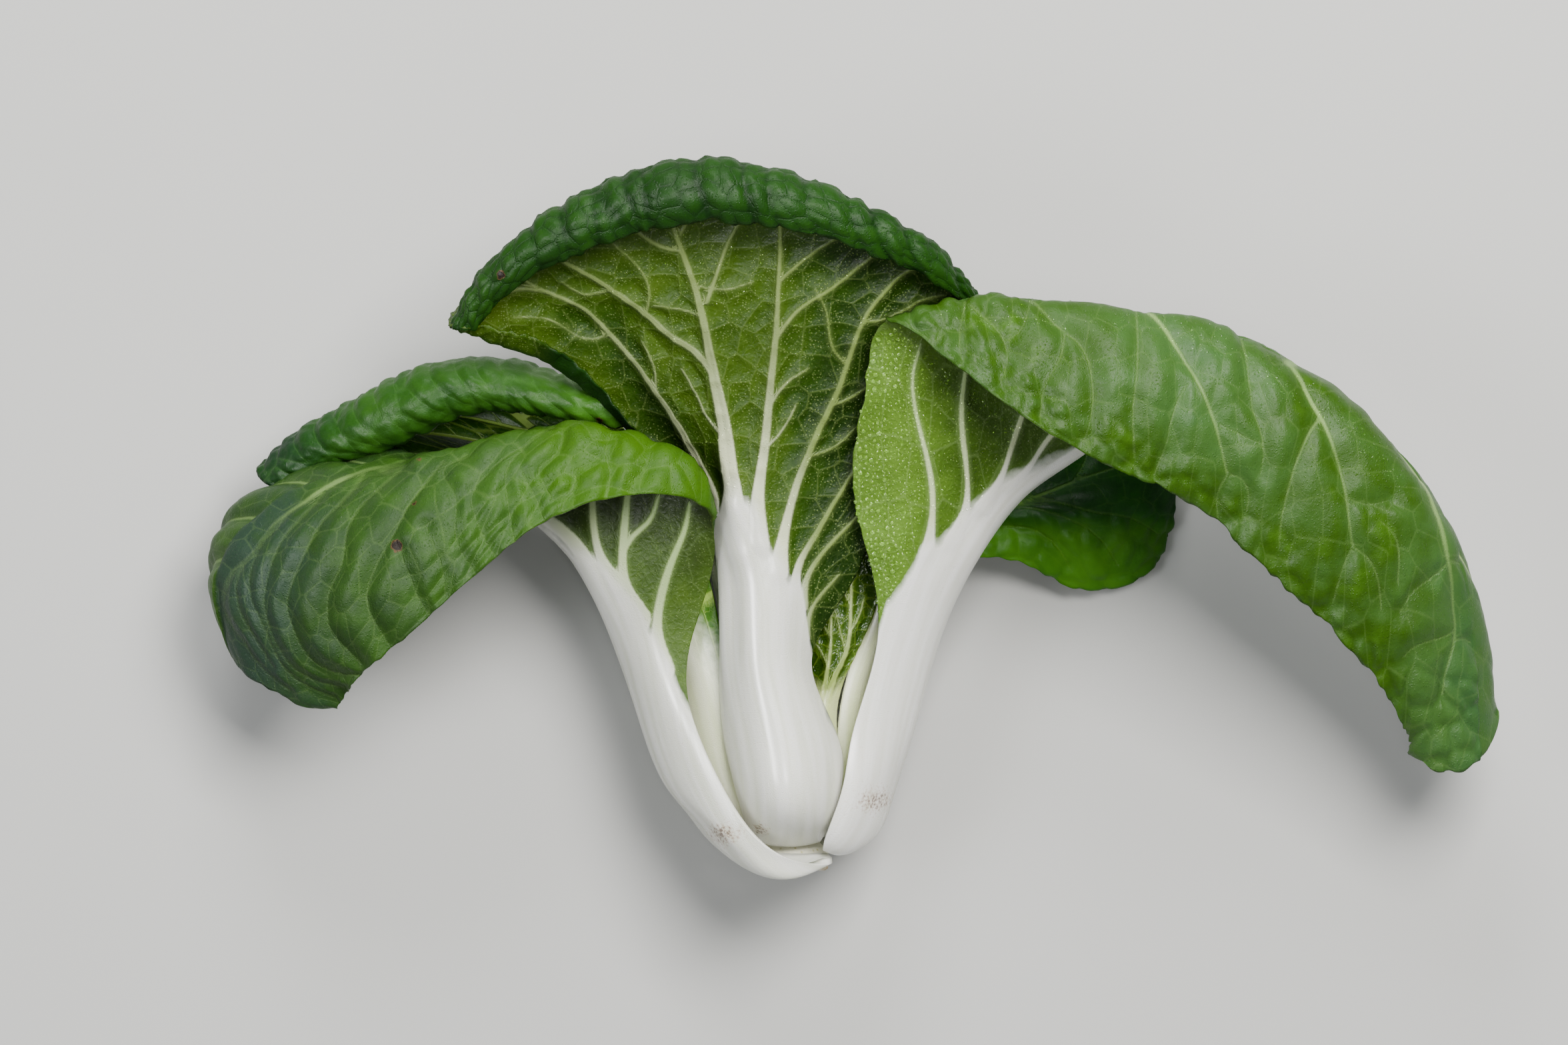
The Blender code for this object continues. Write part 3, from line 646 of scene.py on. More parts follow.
YOUNG_OUTER = ("507216", "3c5415", "224306", "0f3101")
YOUNG_INNER = ("437313", "2f5911", "1a4106", "0e3002")
young_skin = leaf_skin("young leaf", YOUNG_OUTER, YOUNG_INNER, outer_vein="afc662",
                       white=("cfd8a4", "e3e7c8"), cell=1.6, gloss=0.22)


def young_leaf(name, node, rows, neck, step, stalk, spine, tone, lighter, seed):
    """A plain young leaf with the given feather of veins, lighter by some towards its tip."""
    sheet = lay_out(rows, midrib=1, neck=neck, step=step)
    ruffle(sheet, wave=1.0, bite=0.8, size=9.0, seed=10 * seed + 11)
    veins = vein_field(sheet.side, sheet.up, spine)
    net = cells(sheet.side, sheet.up, size=5.0, seed=10 * seed + 12)
    sunk = quilted(veins, net, puff=0.6, reach=3.0, fine=0.25, fine_reach=1.6) * sheet.blade
    make_leaf(name, node, sheet, veins, net, sunk, above=8 * (sheet.blade - 0.5),
              tone=tone + lighter * sheet.tip, material=young_skin, stalk=stalk,
              pale=0.4, seed=seed)


young_leaf("heart_back_leaf", "leaf_heart_back", HEART_BACK_ROWS, neck=(1, 2), step=1.6,
           stalk=3.0, tone=0.3, lighter=0.2, seed=1,
           spine=feather(start=10, end=95, reach=22, pitch=11, lean=0.9, width=5))

# The left heart leaf: as young as the back one and of the same soft green. It grows from the
# stem's left and is cupped against the front leaf's stalk.
HEART_LEFT_ROWS = [
    [(-4.6, 13.5, 23.8), (-5.5, 13.5, 26.4), (-4.9, 13.5, 29.7), (-2.7, 13.5, 32.3)],
    [(-9, 40, 22.5), (-13, 40, 27), (-12, 40, 32.5), (-6.5, 40, 36.5)],
    [(-11, 70, 24), (-17, 70, 28.5), (-15, 70, 34.5), (-6, 70, 38.5)],
    [(-14, 95, 25), (-23, 96, 30), (-19, 97, 38), (-6, 97, 42)],
    [(-13, 111, 26), (-27, 114, 32), (-22, 117, 40.5), (-6, 116, 45)],
]
young_leaf("heart_left_leaf", "leaf_heart_left", HEART_LEFT_ROWS, neck=(2, 3), step=1.6,
           stalk=3.0, tone=0.35, lighter=0.2, seed=2,
           spine=feather(start=20, end=105, reach=22, pitch=11, lean=0.9, width=5))

# The right heart leaf: a young one too. Its pale green stalk shows in the gap between the front
# and right leaves, and most of its blade is hidden behind them.
HEART_RIGHT_ROWS = [
    [(8.5, 12.5, 29.6), (8.9, 12.5, 28.2), (9, 12.5, 26.5), (8.8, 12.5, 25)],
    [(12.5, 26, 34), (16, 26, 33.5), (18.5, 26, 30), (18.3, 26, 25)],
    [(14.5, 45, 36.5), (18.5, 45, 36), (21, 46, 32.5), (20.5, 47, 27)],
    [(20, 68, 37), (25.5, 68, 37.5), (29.5, 69, 34), (29.5, 70, 28)],
    [(20, 92, 38), (30, 92, 39.5), (38, 93, 36), (41, 95, 29)],
    [(22, 116, 43), (34, 118, 45), (45, 117, 41), (51, 114, 33)],
    [(27, 131, 48), (36, 135, 50), (46, 135, 45), (54, 131, 36)],
]
young_leaf("heart_right_leaf", "leaf_heart_right", HEART_RIGHT_ROWS, neck=(3, 5), step=1.4,
           stalk=3.4, tone=0.3, lighter=0.3, seed=3,
           spine=feather(start=40, end=125, reach=24, pitch=12, lean=0.9, width=6))

# The front heart leaf: the glossiest and greenest of the young ones, seen between the front and
# right leaves. Two thick yellowish ribs fork from its short stalk.
HEART_FRONT_ROWS = [
    [(2.4, 12.5, 34.9), (4.5, 12.5, 34.2), (6.4, 12.5, 32.9), (7.9, 12.5, 31)],
    [(5, 27, 39), (8, 27, 40.5), (11.5, 27, 39.8), (14, 27, 37)],
    [(7.5, 45, 39), (9.7, 45, 40.3), (12, 45, 40), (13.8, 45, 38.2)],
    [(5, 60, 38.5), (10, 60, 41), (15, 60, 42), (20, 61, 40.5)],
    [(2, 80, 38.5), (10, 80, 42.5), (18, 78, 43.5), (25, 75, 41.5)],
    [(-1, 100, 40), (9, 104, 45), (19, 103, 46.5), (28, 96, 43)],
]
HEART_FRONT_VEINS = [
    [(9.6, 44, 3.6), (10.4, 50, 2.2), (11.6, 57, 1.4), (12, 65, 1.1), (11, 80, 0.8), (9, 98, 0.5)],
    [(10.6, 44, 3.6), (13, 52, 2.4), (15.8, 58, 1.8), (17, 67, 1.5), (17.2, 76, 1.2),
     (18, 98, 0.6)],
    [(12, 44, 2.6), (15, 50, 1.8), (18, 56, 1.6), (21, 62, 1.4), (24.5, 70, 1.2)],
    [(11.9, 62, 0.7), (9.5, 66, 0.6), (7, 72, 0.4)],
    [(11.2, 55, 0.7), (9, 59, 0.6), (7, 62, 0.4)],
    [(15.8, 58, 0.7), (14.5, 63, 0.6), (13, 69, 0.4)],
    [(16.6, 63, 0.7), (19, 67, 0.6), (20.5, 72, 0.4)],
    [(17.2, 70, 0.7), (15, 74, 0.5), (13.5, 79, 0.4)],
]
heart_skin = leaf_skin("glossy heart leaf", ("304c0b", "203b06", "122b02", "0a1f01"), YOUNG_INNER,
                       outer_vein="6d852c", white=("a9b46c", "c6cf98"), cell=1.5, outer_net=0.3,
                       gloss=0.18, shine=0.2)
sheet = lay_out(HEART_FRONT_ROWS, midrib=2, neck=(2, 3), step=0.9)
x, y = sheet.points[:, :, :2].transpose(2, 0, 1)
veins = vein_field(x, y, HEART_FRONT_VEINS, slim=0.48)
net = cells(sheet.side, sheet.up, size=3.6, seed=5)
above = 0.6 * (y - 0.6 * abs(x - 11) - 47)
sunk = quilted(veins, net, puff=0.6, reach=2.2, fine=0.3, fine_reach=1.2)
make_leaf("heart_front_leaf", "leaf_heart_front", sheet, veins, net,
          sunk * smooth_step(above, -1, 1), above, tone=0.25 + 0.35 * bumps(x, y, 9, 6) ** 2,
          material=heart_skin, stalk=2.6, pale=0.25, seed=4)

# The back leaf: a full-grown outer leaf that the head lies on. Its stalk's belly and its rolled
# margin touch the table, and its outer face looks down.
BACK_ROWS = [
    [(11, 6.5, 18.6), (6.5, 6.5, 15.2), (1, 6.5, 14), (-4.5, 6.5, 15.2), (-9, 6.5, 18.6)],
    [(17.2, 13, 14.4), (11, 11, 7), (1, 10, 3.5), (-9.5, 11, 7), (-16, 13, 14.4)],
    [(22, 26, 12.5), (13, 26, 2.6), (1, 26, -1.2), (-11.5, 26, 2.6), (-20.5, 26, 12.5)],
    [(17, 50, 8), (9.5, 50, 2.2), (0, 50, -0.6), (-9.5, 50, 2.2), (-17, 50, 8)],
    [(17, 75, 6.5), (9, 75, 4), (0, 75, 3.3), (-9, 75, 4), (-17.5, 75, 6.5)],
    [(32, 95, 8), (16, 99, 8.5), (-1, 100, 9), (-18, 99, 8.5), (-32, 95, 8)],
    [(47, 117, 6.5), (24, 124, 8.5), (-2, 127, 10.5), (-24, 124, 8.5), (-37, 117, 6.5)],
    [(52, 131, 5), (28, 145, 9.3), (-2, 150, 12), (-27, 145, 9.3), (-42, 132, 5)],
]
BACK_CURL_RADII = (2.0, 4.4, 5.6, 4.4, 2.0)
OUTER_GREENS = ("485e17", "39500f", "2a4204", "173001")
INNER_GREENS = ("366511", "274e0e", "183e06", "092f02")
leaf_green = leaf_skin("outer leaf", OUTER_GREENS, INNER_GREENS)
sheet = lay_out(BACK_ROWS, midrib=2, neck=(3, 6), step=1.3, radii=BACK_CURL_RADII,
                turn_deg=200.0)
ruffle(sheet, wave=0.0, bite=0.8, size=9.0, seed=51)
spine = feather(start=62, end=165, reach=45, pitch=15, lean=0.8, width=9)
veins = vein_field(sheet.side, sheet.up, spine)
net = cells(sheet.side, sheet.up, size=7.5, seed=52)
sunk = quilted(veins, net, puff=0.9, reach=5.0, fine=0.5, fine_reach=2.4) * sheet.blade
make_leaf("back_leaf", "leaf_back", sheet, veins, net, sunk, above=(sheet.up - 76) * 0.12,
          tone=0.35 + 0.3 * sheet.rolled, material=leaf_green, stalk=6.5,
          pale=np.exp(-(sheet.up - 70) / 40).clip(0, 1), seed=5)

# The back right leaf: its grey-white stalk shows deep in the right gap, and its glossy blade
# droops to the table behind the right leaf's stalk, inner face up. Its upper part is darkened
# with painted shadow from the right leaf's flap above it.
BACK_RIGHT_ROWS = [
    [(10.8, 10.5, 22.4), (9.2, 10.5, 19.9), (6.9, 10.5, 17.9),
     (4.2, 10.5, 16.7), (1.4, 10.5, 16.2), (-0.9, 10.5, 16.4)],
    [(16.9, 21, 19.6), (14.2, 21, 15.5), (10.5, 21, 12.3),
     (6.1, 21, 10.3), (1.6, 21, 9.5), (-1.4, 21, 9.7)],
    [(22, 41, 23), (21.5, 41, 18), (19, 41, 14.3),
     (15, 41, 12.2), (10.5, 41, 11.2), (6.5, 41, 11.2)],
    [(28.5, 63, 22.5), (29.5, 64.5, 18), (28.5, 66, 14),
     (25.5, 68, 12), (21.5, 69.5, 11), (17, 70.5, 11)],
    [(45, 80, 20), (45, 84, 17), (43, 88, 14.5), (39, 92, 13.3), (34, 95.5, 13), (28, 98, 14)],
    [(62, 81, 13), (62, 88, 15.5), (60, 95, 16.5), (56, 102, 16), (50, 108, 15), (43, 112.5, 14)],
    [(79, 74.5, 5), (80, 84, 10.5), (79, 95, 14.5), (76, 106, 16), (70, 115, 14.5), (62, 121, 11)],
    [(94, 79, 1.5), (94, 88, 6), (93, 99, 10), (90, 110, 11.5), (84, 119, 10), (76, 125, 6)],
    [(98.5, 88, -0.2), (100, 94, 2.5), (101, 101, 4.5),
     (99, 108.5, 5), (95, 115.5, 3.5), (89, 121.5, 1)],
]
BACK_RIGHT_VEINS = [
    [(40, 88, 2.4), (52, 93, 1.4), (62, 97, 0.9), (72, 101, 0.8), (83, 105, 0.6), (96, 108, 0.5)],
    [(52, 93, 0.9), (60, 95.5, 0.7), (68, 94.5, 0.6), (75, 92, 0.6), (81, 88, 0.5), (86, 81, 0.4)],
    [(48, 90, 0.7), (56, 90.5, 0.6), (64, 90, 0.5), (70, 86, 0.5), (74, 80, 0.4)],
    [(60, 96.5, 0.7), (70, 97, 0.6), (80, 94.5, 0.6), (89, 93, 0.5), (96, 89, 0.4)],
    [(62, 97, 0.6), (64, 105, 0.5), (62, 114, 0.4)],
    [(74, 101.6, 0.6), (78, 109, 0.5), (76, 119, 0.4)],
]
back_right_skin = leaf_skin("back right leaf", OUTER_GREENS,
                            ("3b6f08", "265a03", "0e4401", "012c01"), inner_vein="67902e",
                            inner_net=0.05, gloss=0.46, shine=0.13)
sheet = lay_out(BACK_RIGHT_ROWS, midrib=2, neck=(3, 5), step=1.1)
ruffle(sheet, wave=0.8, bite=0.9, size=8.0, seed=61)
x, y = sheet.points[:, :, :2].transpose(2, 0, 1)
veins = vein_field(x, y, BACK_RIGHT_VEINS, slim=0.85)
net = cells(sheet.side, sheet.up, size=6.5, seed=62)
low_part = smooth_step(y, 100, 90)
sunk = quilted(veins, net, puff=1.2, reach=5.0, fine=0.1 + 0.75 * low_part, fine_reach=2.0)
# The tone runs to the darkest inner greens towards the blade's top: painted shadow where the right
# leaf's flap hangs over it.
tone = 0.1 + 0.75 * smooth_step(y, 88, 97) + 0.12 * smooth_step(x, 80, 98)
make_leaf("back_right_leaf", "leaf_back_right", sheet, veins, net, sunk * sheet.blade,
          above=(sheet.up - 68) * 0.15, tone=tone, material=back_right_skin, stalk=4.5, seed=6)

# The inner left leaf: its pale stalk stands in the left gap, and its top is rolled over so that
# the dark inner face, drawn into close pleats, shows above the left leaf.
INNER_LEFT_ROWS = [
    [(-5, 11, 18.5), (-8, 10.5, 22), (-9.6, 10.3, 26.5),
     (-9, 10.2, 31), (-6.2, 10.4, 33.9), (-2.8, 10.4, 36.1)],
    [(-11, 22, 15.5), (-16, 21, 21.5), (-18.3, 20.5, 28.5),
     (-16.5, 20, 34), (-13, 20, 37.3), (-9, 19.5, 38.8)],
    [(-17, 43, 18), (-23, 42, 23.5), (-25, 41, 30.5),
     (-22.5, 40, 36), (-18.5, 40, 39.2), (-13.5, 40, 40.5)],
    [(-22, 66, 17.5), (-29, 65, 23), (-31.5, 64, 30),
     (-28.5, 63, 36), (-23.5, 62, 39.8), (-16, 61, 41.8)],
    [(-31, 91, 15), (-40, 89, 20.5), (-43, 87, 27.5),
     (-38.5, 86, 33.5), (-30.5, 86, 37.5), (-22, 86, 39.5)],
    [(-57, 106, 13), (-61, 104, 21), (-59, 103, 28.5),
     (-51, 103.5, 34.5), (-40.5, 104, 38), (-31, 103, 40)],
    [(-97, 108, 13), (-96, 114, 21.5), (-85, 117.5, 29),
     (-67, 118, 36), (-50.5, 117, 39.5), (-38.5, 112.5, 41)],
    [(-131.5, 107, 23), (-119, 117, 28), (-102, 124, 33),
     (-81, 129.3, 38), (-60, 127.6, 41), (-44, 119.5, 41)],
]
INNER_LEFT_CURL_RADII = (5.6, 7.4, 8.8, 9.2, 9.4, 7.6)


def chosen(masks, fields, rest):
    """Fields made into one: each mask's points take that mask's field, and the others rest."""
    return SimpleNamespace(**{key: np.select(masks, [vars(field)[key] for field in fields], value)
                              for key, value in vars(rest).items()})


def mark(x, y, middle, wide, high=None):
    """A round or oval mark on the skin that fades from 1 at its middle."""
    return fading(x - middle[0], wide) * fading(y - middle[1], high or wide)


inner_left_skin = leaf_skin("inner left leaf", ("447113", "285306", "1a3f03", "103002"),
                            ("366511", "254c0d", "143b05", "122c16"), inner_vein="52803c",
                            white=("d3d9b4", "e6e8d0"), inner_net=0.12, crease=0.5, gloss=0.42,
                            shine=0.15)
sheet = lay_out(INNER_LEFT_ROWS, midrib=3, neck=(3, 5), step=0.95,
                radii=INNER_LEFT_CURL_RADII, turn_deg=240.0)
ruffle(sheet, wave=0.0, bite=0.3, size=7.0, seed=71)
x, y = sheet.points[:, :, :2].transpose(2, 0, 1)
spine = feather(start=55, end=150, reach=60, pitch=13, lean=0.75, width=6)
veins = vein_field(sheet.side, sheet.up, spine)
veins = chosen([sheet.rolled], [vein_field(x, y, [])], veins)
pleats = cells(sheet.side, sheet.up * 0.25, size=6.0, seed=73)
quilt = cells(sheet.side, sheet.up, size=4.5, seed=74)
roll_share = smooth_step(sheet.row, 6.6, 7)
roll_sunk = quilted(pleats, quilt, puff=0.9, reach=2.8, fine=0.35, fine_reach=1.6) - 1.1
sunk = 0.9 * (1 - roll_share) * pillow(veins.gap, 4.0) + roll_share * roll_sunk
tone = 0.42 - 0.25 * smooth_step(x, -75, -45) + 0.5 * smooth_step(-x, 105, 132)
above = (sheet.up + 5 * abs(sheet.column - 3) ** 2 - 65) * 0.15
make_leaf("inner_left_leaf", "leaf_inner_left", sheet, veins, pleats, sunk * sheet.blade, above,
          np.clip(tone, 0, 1), material=inner_left_skin, stalk=4.5,
          stain=3.0 * mark(x, y, (-47, 117.5), 0.7746), seed=7)

# The right leaf: the largest. Its stalk leans right and its blade folds over along a crest, so
# that the outer face shows below the fold and the waxy inner face above it, out to the low tip.
RIGHT_ROWS = [
    [(11.6, 7.9, 36), (12.6, 7, 34.8), (13.3, 6.8, 32.5),
     (14.2, 7, 29.5), (14.3, 7.5, 26), (13.6, 8.2, 23)],
    [(9.9, 8.4, 45), (14.2, 7.2, 43.5), (19.5, 8, 38),
     (22.5, 10, 31.5), (22.3, 11.5, 25.5), (20.8, 13, 20.5)],
    [(14.3, 21, 50), (18.5, 20.5, 48.5), (24.5, 20.5, 41.5),
     (28, 21, 31), (28, 22, 24), (26, 23, 19)],
    [(17.2, 36, 48.5), (21.5, 36, 47.3), (28.5, 36.5, 41.5),
     (33, 37, 32.5), (33, 38, 26), (31, 39, 21)],
    [(24, 62, 49.5), (28, 62, 48.5), (35.5, 62, 43.5),
     (40, 62, 35.5), (40.5, 63, 29), (38.5, 64, 24)],
    [(21, 84, 55.5), (30, 83, 54), (41.5, 82, 48.5),
     (49, 82, 40), (49.5, 83, 32), (46.5, 85.5, 26)],
    [(17, 103, 61.5), (30, 102, 60), (46, 98, 53.5),
     (60, 98, 43), (61.5, 99.5, 34), (57, 104, 26.5)],
    [(20, 126, 70.5), (33, 124, 68.5), (52, 117, 60), (75, 109, 47), (77, 112, 36), (71, 117, 27)],
    [(27, 141, 78.5), (37, 143, 77), (60, 136, 65), (90, 123, 52), (92, 126, 39), (86, 129, 28)],
    [(48, 125.5, 85), (50, 144.8, 79), (72, 142.3, 69),
     (99, 130, 55), (103, 133, 40), (98, 133, 27)],
    [(72, 110.5, 82), (74, 131, 83), (88, 144, 73),
     (110, 134.5, 59), (115, 134, 43), (110, 130, 28)],
    [(100, 97.5, 74), (107, 117, 79), (116, 134.5, 73),
     (126, 131, 62), (132, 127, 46), (128, 118, 30)],
    [(125, 77, 66), (133, 96, 73), (142, 115, 70),
     (150, 112.5, 62), (157, 107, 48), (155, 98, 32)],
    [(146, 57, 57), (153.5, 72, 64), (160, 86, 64), (167, 87, 59), (172.5, 82, 49), (173, 75, 34)],
    [(157, 41.5, 47), (161.5, 51, 53), (166, 61, 54),
     (171.5, 62.5, 51), (178.5, 60, 43), (179.5, 54, 33)],
    [(161.5, 34.5, 41), (165.5, 29.5, 42), (170, 27.8, 42),
     (174.5, 29.5, 41), (179.5, 34, 38), (182, 42, 34)],
]
RIGHT_LOBE_VEINS = [
    [(36.4, 83, 5.0), (37.6, 92, 2.2), (37.6, 100, 1.9), (35.4, 111, 1.5), (33, 121, 1.2),
     (32.5, 128, 1.0), (34.5, 136, 0.7)],
    [(43.4, 86, 7.0), (46.4, 96, 2.4), (45.6, 111, 1.9), (45, 120, 1.7), (46, 130, 1.3)],
    [(51, 95, 6.5), (55.3, 103, 2.2), (58, 111, 1.8), (61, 120, 1.5)],
    [(57, 100, 4.0), (62, 105, 2.0), (66, 111, 1.7), (72, 118, 1.3)],
    [(40, 76, 9.0), (50, 88, 7.4), (60, 99, 5.0), (68, 105, 3.6), (76, 110.5, 3.0),
     (90, 123, 2.4)],
]
RIGHT_LOBE_BASE = [(20, 52), (22, 58), (24.5, 65), (26, 70), (30, 75), (33, 80), (35, 85),
                   (39.5, 86), (47.5, 95), (55, 102), (65, 106), (75, 110)]
RIGHT_FLAP_EDGE = [(30, 141), (75, 109), (100, 97), (130, 73), (155, 44)]
RIGHT_FLAP_VEINS = [
    [(86, 147, 1.3), (90, 145, 1.3), (95, 140.5, 1.2), (98, 136, 1.2), (100, 133, 1.1),
     (103, 128, 1.1), (106, 122, 1.1), (108, 117, 1.1), (110, 110, 0.9), (111.5, 104, 0.8)],
    [(111.5, 104, 0.6), (115, 103, 0.5), (117, 99, 0.4), (116.5, 94, 0.3)],
    [(111.5, 104, 0.6), (109, 98, 0.4), (109.5, 93, 0.3)],
    [(120, 138, 1.3), (124, 134, 1.3), (127, 131, 1.2), (130, 127, 1.2), (132.5, 122, 1.3),
     (135, 118, 1.3), (138, 111, 1.1), (140, 105, 1.0), (141.5, 98, 1.0), (142.5, 91, 0.9),
     (143.5, 85.5, 0.8)],
    [(135, 118, 1.1), (131, 112, 1.0), (129, 107, 0.9), (126.5, 98, 0.7), (125.5, 93, 0.5),
     (125, 86, 0.3)],
    [(143.5, 85.5, 0.6), (147, 83, 0.5), (150, 77, 0.4), (151, 70, 0.3)],
    [(143.5, 85.5, 0.5), (141, 80, 0.4), (139, 72, 0.3)],
    [(150, 116, 1.4), (154, 111, 1.4), (157, 106, 1.4), (160, 102, 1.4), (163, 96, 1.3),
     (165.5, 90, 1.2), (167, 84, 1.1), (168.5, 78, 1.0), (169.5, 70, 0.9), (170, 65, 0.8),
     (169.5, 60, 0.7), (168, 55, 0.6), (167, 48, 0.4)],
    [(170, 64, 0.6), (165, 62, 0.5), (161, 61, 0.4), (157, 58, 0.3)],
    [(170, 62, 0.6), (174, 61.5, 0.5), (176, 58, 0.3)],
    [(168, 82, 0.6), (163, 77, 0.5), (160, 75, 0.4), (156, 69, 0.3)],
    [(168, 82, 0.6), (172, 80, 0.5), (174.5, 75, 0.3)],
    [(88.5, 145, 0.7), (88.5, 130, 0.7), (87.5, 120, 0.6), (88, 108, 0.4)],
    [(60, 148, 0.8), (64, 145, 0.8), (68, 141, 0.7), (75, 135, 0.6), (77, 129, 0.6),
     (77.5, 122, 0.5), (75, 112, 0.3)],
    [(70.5, 138.5, 0.6), (69, 132, 0.5), (66, 127, 0.4), (64, 118, 0.3)],
    [(46, 147, 0.5), (44, 138, 0.4), (44.5, 132, 0.3)],
    [(47, 145, 0.5), (51, 142, 0.5), (55, 137, 0.5), (56, 132, 0.4), (54, 126, 0.3)],
    [(55, 137, 0.5), (58, 138, 0.4), (61, 143, 0.4), (62, 147, 0.3)],
    [(101, 126, 0.5), (98, 120, 0.4), (96, 112, 0.4), (93, 104, 0.3)],
    [(115, 137, 0.6), (116.5, 130, 0.6), (118, 119, 0.5), (120.5, 111, 0.4), (120, 104, 0.3)],
    [(150, 92, 0.4), (154, 88, 0.4), (155, 83, 0.4), (155, 76, 0.3)],
    [(141.5, 98, 0.5), (147, 96, 0.4), (152, 97, 0.3)],
    [(108, 117, 0.5), (114, 114, 0.4), (120.5, 111, 0.3)],
]


def above_line(x, y, line):
    """How far up the picture a point lies from a line of places."""
    return y - np.interp(x, *np.transpose(line))


right_skin = leaf_skin("right leaf", ("618330", "4b6a1d", "3b5714", "283f08"),
                       ("3c6308", "284606", "355523", "2e4f28"), outer_vein="9fb878",
                       inner_vein="8fae66", white=("dadad0", "ecece7"), cell=2.3, outer_net=0.1,
                       inner_net=0.05, crease=0.75, soft=0.3, gloss=0.4, shine=0.14, dew=0.15)
sheet = lay_out(RIGHT_ROWS, midrib=3, neck=(4, 8), step=1.0)
ruffle(sheet, wave=1.0, bite=1.3, size=8.0, seed=81)
x, y, z = sheet.points.transpose(2, 0, 1)
flap = (sheet.column < 3.4) & (sheet.row > 6.5) & (sheet.normal[:, :, 2] < 0.1)
lobe = (sheet.column < 3.6) & (sheet.row < 9.5) & ~flap
spine = feather(start=70, end=260, reach=60, pitch=17, lean=0.8, width=5)
veins = chosen([flap, lobe], [vein_field(x, y, RIGHT_FLAP_VEINS, slim=0.62),
                              vein_field(x, y, RIGHT_LOBE_VEINS, slim=0.57)],
               vein_field(sheet.side, sheet.up, spine))
net = cells(1.25 * x, 0.8 * y - 0.5 * z, size=8.0, seed=82)
quilt = cells(x, y - 0.5 * z, size=5.5, seed=86)
shown = smooth_step(sheet.column, 3.9, 3.3) * (sheet.row < 9.5) * ~flap
above = (shown * above_line(x, y, RIGHT_LOBE_BASE)
         + (1 - shown) * (sheet.up - 85) * 0.12)
from_edge = above_line(x, y, RIGHT_FLAP_EDGE)
low_edge = smooth_step(from_edge, 20, 4) * flap
near_fold = smooth_step(x, 75, 35) * flap
puffed = 0.5 + 0.5 * bumps(x, y, 15, 84)
flap_sunk = (quilted(veins, net, puff=1.3, reach=6.0, fine=0.05 + 0.5 * puffed + 0.35 * near_fold,
                     fine_reach=3.0)
             + (0.65 + 0.5 * puffed) * np.maximum(low_edge, 0.8 * near_fold)
             * pillow(quilt.gap, 2.0) + 0.45 * bumps(x, y, 7, 85))
rest_sunk = quilted(veins, net, puff=0.6, reach=5.0, fine=0.2, fine_reach=2.4)
sunk = np.where(flap, flap_sunk, rest_sunk) * sheet.blade * smooth_step(above, -1, 1.5)
waxy = fading(x - 103, 24) * smooth_step(from_edge, 8, 25)
# Off the flap, the tone darkens from x 28 to 50 mm: painted shade where the flap hangs over the
# lobe.
tone = np.where(flap, 0.34 + 0.32 * waxy + 0.6 * smooth_step(x, 148, 182) + 0.05 * near_fold,
                0.3 + 0.45 * smooth_step(x, 28, 50))
right_leaf = make_leaf("right_leaf", "leaf_right", sheet, veins, net, sunk, above, tone,
                       right_skin, stalk=7.0, stand=0.55,
                       stain=0.9 * mark(x, y, (23.5, 20.5), 5.0, 3.4) * (sheet.row < 3),
                       pale=np.where(lobe, np.exp(-above.clip(0) / 18), 0), seed=8)

# The left leaf: its foot wraps under the front leaf. Its blade turns over along a crest and
# arches out to the left, with deep creases that run down from the midrib to the wavy margin.
LEFT_ROWS = [
    [(-12, 8, 22.5), (-12.8, 7, 27.5), (-10, 6, 34), (-3, 5, 40.5), (5, 5, 40.5), (11, 5.5, 37.5)],
    [(-18.5, 13, 20), (-18.7, 10, 27), (-15, 6.5, 38), (-6, 1.5, 47), (4, 1, 47), (12, 4.2, 41)],
    [(-23, 18, 18.5), (-24, 15.5, 26.5), (-21, 13, 38), (-14, 9, 49), (-6, 5.5, 52), (0, 6.2, 51)],
    [(-27.5, 28, 17.5), (-30.5, 26, 24.5), (-30.5, 24, 33),
     (-26, 23, 43), (-20, 23, 49), (-16, 24, 51)],
    [(-34, 47, 18.5), (-38, 46, 24.5), (-38.5, 45, 32),
     (-34, 44.5, 41), (-28, 44, 46), (-24, 44, 47)],
    [(-40, 64, 19), (-44, 63, 25.5), (-44.3, 62, 34), (-38, 62, 42), (-31, 62, 45), (-24, 60, 45)],
    [(-36, 88, 12), (-50, 83, 22), (-53, 80, 37), (-38, 81, 47), (-24, 82, 51), (-17.5, 84, 52)],
    [(-44, 98, 8), (-60, 92, 22), (-62, 91, 38), (-42, 99, 49), (-24, 104, 59.5), (-24, 96.5, 63)],
    [(-58, 98, 6), (-72, 99, 22), (-74, 101, 40), (-58, 105, 49), (-38, 112, 63), (-42, 97.5, 69)],
    [(-76, 94, 3), (-89, 107, 30), (-88, 105, 44),
     (-72, 109.5, 54), (-55, 113, 64), (-60, 91, 70)],
    [(-98, 92, 0.3), (-106, 108.6, 31), (-102, 103.5, 49),
     (-88, 107, 59), (-78, 96, 68), (-80, 76, 68)],
    [(-122, 88, 6), (-124, 102.8, 35), (-118, 97.5, 50),
     (-106, 95, 60), (-98, 80, 66), (-96, 62, 62)],
    [(-139, 80, 14), (-141, 93, 32), (-132, 87, 47),
     (-121, 79, 56), (-112, 65, 58), (-107, 53, 54)],
    [(-143.8, 71, 19), (-145.8, 77, 30), (-141.5, 72.5, 41),
     (-129, 62, 48), (-118, 54, 49), (-111, 48.5, 46)],
    [(-140.5, 69, 23), (-141.6, 62.5, 29.5), (-137.6, 54.4, 35),
     (-129.6, 48.8, 39), (-121.5, 45.2, 40), (-114.5, 45.4, 40)],
]
